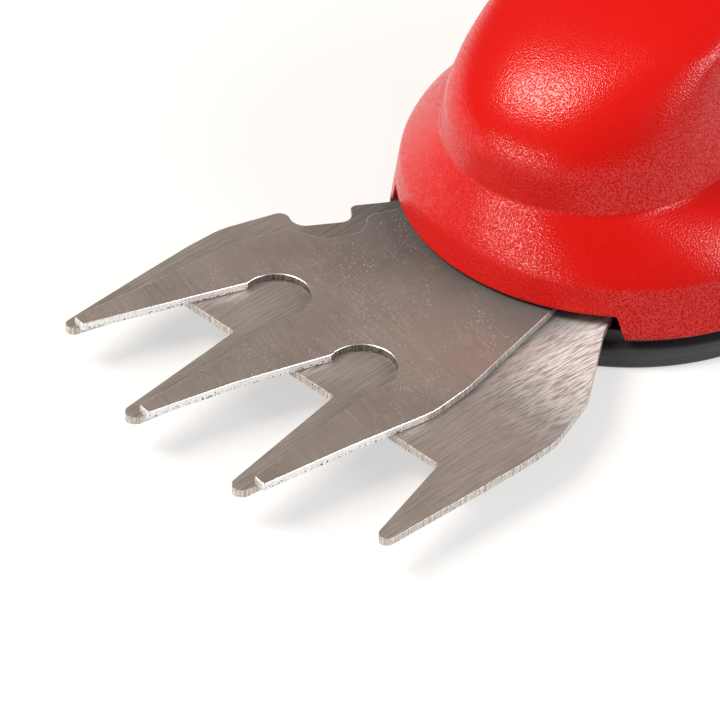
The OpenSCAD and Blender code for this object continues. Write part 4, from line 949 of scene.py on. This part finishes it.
shoulder = next(i for i, corner in enumerate(low_right) if corner[0] == LOW_SHOULDER_X)
low_right[shoulder:shoulder + 1] = low_notch
lower = piece("lower_blade_strip", *plate(rounded(low_right + low_left), *LOW_Z),
              [LOWER_STEEL, SHEARED_EDGE], "housing", "lower_blade", "blade_steel")
low_holes = [(PIVOT_X, 0, LOW_PIVOT_R)]
low_holes += [(BLADE_SCREW_X, y, BLADE_SCREW_R) for y in (BLADE_SCREW_Y, -BLADE_SCREW_Y)]
carve(lower, [drill(x, y, DRILL_LOW, DRILL_HIGH, radius) for x, y, radius in low_holes])
soften(lower, width_mm=0.12)
for face in lower.data.polygons:
    face.material_index = LOW_FACE if abs(face.normal.z) > FACE_UP else LOW_EDGE
print("lower blade faces:", len(lower.data.polygons))

# %% [markdown]
# The upper blade has three teeth, and two gaps with round feet between them. It is drawn in the middle of
# its swing, where its two halves mirror each other, and then turned to its right-hand limit, the way it
# stands at rest.

# %% Upper blade outline
UP_Z = [c / MM for c in (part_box("upper_blade")[0].z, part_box("upper_blade")[1].z)]
SWING = math.radians(-7.5)
GAP_X, GAP_Y, GAP_R, GAP_FROM_DEG, GAP_TO_DEG = 87.0, 15.4, 7.6, -68, -288
UP_SHOULDER_X = 57.8
gap_foot = [(GAP_X + GAP_R * math.cos(a), GAP_Y + GAP_R * math.sin(a), 0)
            for a in np.radians(np.linspace(GAP_FROM_DEG, GAP_TO_DEG, 45))]
up_left = [
    (132.6, 1.6, 0.5), (111, 4.1, 60), *gap_foot, (126.8, 31.4, 0.5), (126.8, 34.6, 0.5), (105, 35.1, 60),
    (84, 36.3, 14), (73, 34.1, 14), (UP_SHOULDER_X, 29, 30), (41.5, 23.6, 20), (24, 15.5, 20), (8, 11, 10),
    (-8, 10, 4), (-12, 6.5, 3),
]
up_right = mirrored_corners(up_left)
up_notch = [(41.5, -23.6, 20), (53.2, -27.4, 3.2), (57.4, -22.6, 4.6), (66.4, -25.6, 5.5), (70.6, -33.3, 5)]
shoulder = next(i for i, corner in enumerate(up_right) if corner[0] == UP_SHOULDER_X)
up_right[shoulder - 1:shoulder + 1] = up_notch


def swing(x, y, angle):
    """Turns a point about the pivot."""
    out, c, s = x - PIVOT_X, math.cos(angle), math.sin(angle)
    return PIVOT_X + out * c - y * s, out * s + y * c


turned_out = [swing(x, y, SWING) for x, y in rounded(up_right + up_left)]
print("upper blade points:", len(turned_out))

# %% [markdown]
# Its faces are then sorted by where they lie: the flat face is brushed, the rim gets a painted highlight,
# the feet of the gaps are dark, the flanks of the teeth are ground, and the rest of the edge is sheared.
# To tell where a face lies, its middle is turned back to the middle of the swing.

# %% Upper blade
UP_PIVOT_R, UP_DRILL_HIGH = 5.04, 16
BRUSHED, SHEARED, GROUND, DARK, HIGHLIGHT_RIM_FACE = range(5)
FACE_FROM, RIM_FROM, GROUND_FROM_X, FOOT_TO_X, FOOT_ROOM = 0.95, 0.1, 86, GAP_X + 4, 0.2
upper = piece("upper_blade_strip", *plate(turned_out, *UP_Z),
              [UPPER_STEEL, SHEARED_EDGE, GROUND_EDGE, BLACK_EDGE, PAINTED_HIGHLIGHT_RIM],
              "cutter", "upper_blade", "blade_steel")
carve(upper, [drill(PIVOT_X, 0, DRILL_LOW, UP_DRILL_HIGH, UP_PIVOT_R)])
soften(upper, width_mm=0.16)


def upper_finish(face):
    x, y = swing(face.center.x / MM, face.center.y / MM, -SWING)
    level = abs(face.normal.z)
    if level > FACE_FROM:
        return BRUSHED
    # Rounded rim faces get the near-white painted highlight.
    if level > RIM_FROM:
        return HIGHLIGHT_RIM_FACE
    if math.hypot(x - GAP_X, abs(y) - GAP_Y) < GAP_R + FOOT_ROOM and x < FOOT_TO_X:
        return DARK
    return GROUND if x > GROUND_FROM_X else SHEARED


for face in upper.data.polygons:
    face.material_index = upper_finish(face)
print("upper blade faces:", len(upper.data.polygons))

# %% [markdown]
# ## Soft grip
# A rubber pad is moulded onto each side of the palm. It could be cut out of a swollen copy of the handle,
# but a patch of the handle's own sections, lifted by the pad's thickness, follows it exactly. The outer
# skin is a little smaller than the inner one, so that the rim slopes down to the red plastic.

# %% Soft grip pads
GRIP_START, GRIP_END, GRIP_T, GRIP_LIFT, GRIP_SLOPE = 50.0, HANDLE_LEN - 8, 1.3, 0.2, 0.5
GRIP_MIDDLE_DEG, GRIP_UP_DEG, GRIP_DOWN_DEG, GRIP_END_DEG = 102, 46, 62, 8
GRIP_STEPS, GRIP_R = 60, 20


def grip_ring(s, lift, shrink):
    bow = math.sqrt(max(0.02, 1 - abs(2 * s - 1) ** 4))
    d = mix(GRIP_START + shrink, GRIP_END - shrink, s)
    zc, half_h, half_w = handle_row(d)
    edge = shrink / GRIP_R
    first = math.radians(GRIP_MIDDLE_DEG - GRIP_UP_DEG * bow - GRIP_END_DEG) + edge
    last = math.radians(GRIP_MIDDLE_DEG + GRIP_DOWN_DEG * bow + GRIP_END_DEG) - edge
    t = np.linspace(first, last, GRIP_STEPS + 1)
    y, z = (half_w + lift) * np.sin(t), zc + (half_h + lift) * np.cos(t)
    return np.stack([HANDLE_X - d + 0 * t, y, z], axis=-1)


stations = [(1 - math.cos(math.pi * i / GRIP_STEPS)) / 2 for i in range(GRIP_STEPS + 1)]
pad = loft_wall([grip_ring(s, GRIP_T, GRIP_SLOPE) for s in stations],
                [grip_ring(s, GRIP_LIFT, 0) for s in stations])
piece("grip_left_pad", *pad, [GRIP], "housing", "grip_left", "soft_grip")
piece("grip_right_pad", *mirrored(*pad), [GRIP], "housing", "grip_right", "soft_grip")
print("grip points per pad:", len(pad[0]))

# %% [markdown]
# ## Springs
# One spring returns the trigger, a flatter one the lock-off button. Drawn wire is wound on a mandrel: a
# small ring of points carried round and up makes the same coil. A Screw modifier could do it too, but a
# loop ends the coil at exactly the height that the frame gives. A spring can't follow a joint as a rigid
# piece does; each is given a copy of its mesh as its own.

# %% Springs
CURL_STEPS, WIRE_SIDES = 28, 12


def coil(node, coil_r, wire_r, curls):
    low, high = (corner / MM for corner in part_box(node))
    middle = (low + high) / 2
    steps, n = CURL_STEPS * curls, WIRE_SIDES
    points = []
    for i in range(steps + 1):
        a = 2 * math.pi * i / CURL_STEPS
        z = mix(low.z + wire_r, high.z - wire_r, i / steps)
        for k in range(n):
            b = 2 * math.pi * k / n
            r = coil_r + wire_r * math.cos(b)
            points.append((middle.x + r * math.cos(a), middle.y + r * math.sin(a), z + wire_r * math.sin(b)))
    faces = [(i * n + k, (i + 1) * n + k, (i + 1) * n + (k + 1) % n, i * n + (k + 1) % n)
             for i in range(steps) for k in range(n)]
    faces += [tuple(range(n)), tuple(reversed(range(steps * n, (steps + 1) * n)))]
    spring = piece(node + "_wire", points, faces, [SPRING], "housing", node, "spring_steel")
    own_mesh(spring)


coil("trigger_spring", coil_r=2.6, wire_r=0.35, curls=6)
coil("lock_spring", coil_r=3.2, wire_r=0.25, curls=2)

# %% [markdown]
# ## Camera
# The picture is taken from the tool's front left, about 38 degrees above, with a long lens that flattens
# the view. A Track To constraint could aim the camera, but it can't roll it, so its three axes are worked
# out from the direction to the lens and the roll.

# %% Camera
CAMERA_AT = Vector((562.79, 473.56, 537.37)) * MM
AZIMUTH, ELEVATION, ROLL = (math.radians(angle) for angle in (134.553, 38.164, 1.317))
back = Vector((math.sin(AZIMUTH) * math.cos(ELEVATION), -math.cos(AZIMUTH) * math.cos(ELEVATION),
               math.sin(ELEVATION)))
level = Vector((math.cos(AZIMUTH), math.sin(AZIMUTH), 0))
above = back.cross(level)
right = level * math.cos(ROLL) + above * math.sin(ROLL)
up = above * math.cos(ROLL) - level * math.sin(ROLL)
camera_data = bpy.data.cameras.new("camera")
camera_data.lens = 200
camera_data.sensor_width = 36
camera_data.clip_start, camera_data.clip_end = 0.05, 20
camera = bpy.data.objects.new("camera", camera_data)
camera.matrix_world = Matrix((right, up, back)).transposed().to_4x4()
camera.location = CAMERA_AT
scene.collection.objects.link(camera)
scene.camera = camera
print("camera at mm", [round(c / MM) for c in camera.location])

# %% [markdown]
# ## Floor
# The tool lies on white paper. To the eye the paper is plain white with a soft shadow. More lamp light
# would whiten it, but would bleach the tool as well. So the paper glows a little for rays from the
# camera, and for mirrored and transmitted ones, so that steel and plastic show the same white. For all
# other rays it is a mid grey, which keeps the light that it throws up at the tool at a plain level. Its
# fibres are a faint noise.

# %% Floor
FLOOR_HALF, FIBRE_MM, PAPER_GLOW = 6, 1.11, 0.56


def white_paper():
    material, tree = new_material("Paper white, matt")
    place = add(tree, "ShaderNodeTexCoord").outputs["Object"]
    cells = add(tree, "ShaderNodeMapping", {"Vector": place, "Scale": per_mm(FIBRE_MM)})
    fibre = add(tree, "ShaderNodeTexNoise", {"Vector": cells, "Scale": 1.0, "Detail": 2.0})
    white = add(tree, "ShaderNodeMix", (fibre, colour("#B2B2B2"), colour("#B8B8B8")), **COLOURS)
    ray = add(tree, "ShaderNodeLightPath").outputs
    either = (ray["Is Glossy Ray"], ray["Is Transmission Ray"])
    passed_on = add(tree, "ShaderNodeMath", either, operation="MAXIMUM")
    seen = add(tree, "ShaderNodeMath", (ray["Is Camera Ray"], passed_on), operation="MAXIMUM")
    tone = add(tree, "ShaderNodeMix", (seen, colour("#8E8E8E"), white), **COLOURS)
    glow = add(tree, "ShaderNodeMath", (seen, PAPER_GLOW), operation="MULTIPLY")
    shader = add(tree, "ShaderNodeBsdfPrincipled", {
        "Base Color": tone, "Roughness": 0.9, "Specular IOR Level": 0.1,
        "Emission Color": colour("#FFFFFF"), "Emission Strength": glow})
    add(tree, "ShaderNodeOutputMaterial", {"Surface": shader})
    return material


floor_corners = [(x * FLOOR_HALF, y * FLOOR_HALF, 0) for x, y in ((-1, -1), (1, -1), (1, 1), (-1, 1))]
floor_mesh = bpy.data.meshes.new("floor")
floor_mesh.from_pydata(floor_corners, [], [(0, 1, 2, 3)])
floor_mesh.materials.append(white_paper())
floor = bpy.data.objects.new("floor", floor_mesh)
scene.collection.objects.link(floor)
print("floor", 2 * FLOOR_HALF, "m wide")

# %% [markdown]
# ## Lamps and surroundings
# A tilted softbox, high up in front of the tool and to its right, gives the tower its highlight and
# models the red. A low strip in front lights the upright edges and the skirt, and a fill on the left
# keeps that side from going dull. One big lamp would be simpler, but it would spread the highlight over
# the whole housing. An even, dim white surrounding fills the rest.

# %% Lamps and surroundings
AIM = Vector((40, 5, 25)) * MM
WARM, NEUTRAL = "#FFF4EA", "#FFFFFF"
LAMPS = [  # name, azimuth, elevation, distance, width and height in metres, watts, tint, roll
    ("key_softbox", -36, 55, 1.2, 0.8, 0.46, 14.5, WARM, 35),
    ("low_strip", -9, 6, 1.2, 0.95, 0.12, 4.6, WARM, 0),
    ("side_fill", 114, 28, 1.3, 0.8, 0.8, 11, NEUTRAL, 0),
]
SURROUNDINGS = 0.15


def softbox(name, azimuth_deg, elevation_deg, distance, width, height, watts, tint, roll_deg):
    lamp_data = bpy.data.lights.new(name, "AREA")
    lamp_data.shape = "RECTANGLE"
    lamp_data.size, lamp_data.size_y = width, height
    lamp_data.energy = watts
    lamp_data.color = colour(tint)[:3]
    a, e = math.radians(azimuth_deg), math.radians(elevation_deg)
    towards = Vector((math.cos(a) * math.cos(e), math.sin(a) * math.cos(e), math.sin(e)))
    lamp = bpy.data.objects.new(name, lamp_data)
    lamp.location = AIM + towards * distance
    turn = towards.to_track_quat("Z", "Y") @ Quaternion((0, 0, 1), math.radians(roll_deg))
    lamp.rotation_euler = turn.to_euler()
    scene.collection.objects.link(lamp)


for lamp in LAMPS:
    softbox(*lamp)
world = bpy.data.worlds.new("surroundings")
scene.world = world
world.use_nodes = True
world.node_tree.nodes.clear()
around = add(world.node_tree, "ShaderNodeBackground", {"Color": colour(NEUTRAL), "Strength": SURROUNDINGS})
add(world.node_tree, "ShaderNodeOutputWorld", {"Surface": around})
scene.view_settings.view_transform = "Standard"
print("lamps:", [lamp[0] for lamp in LAMPS])
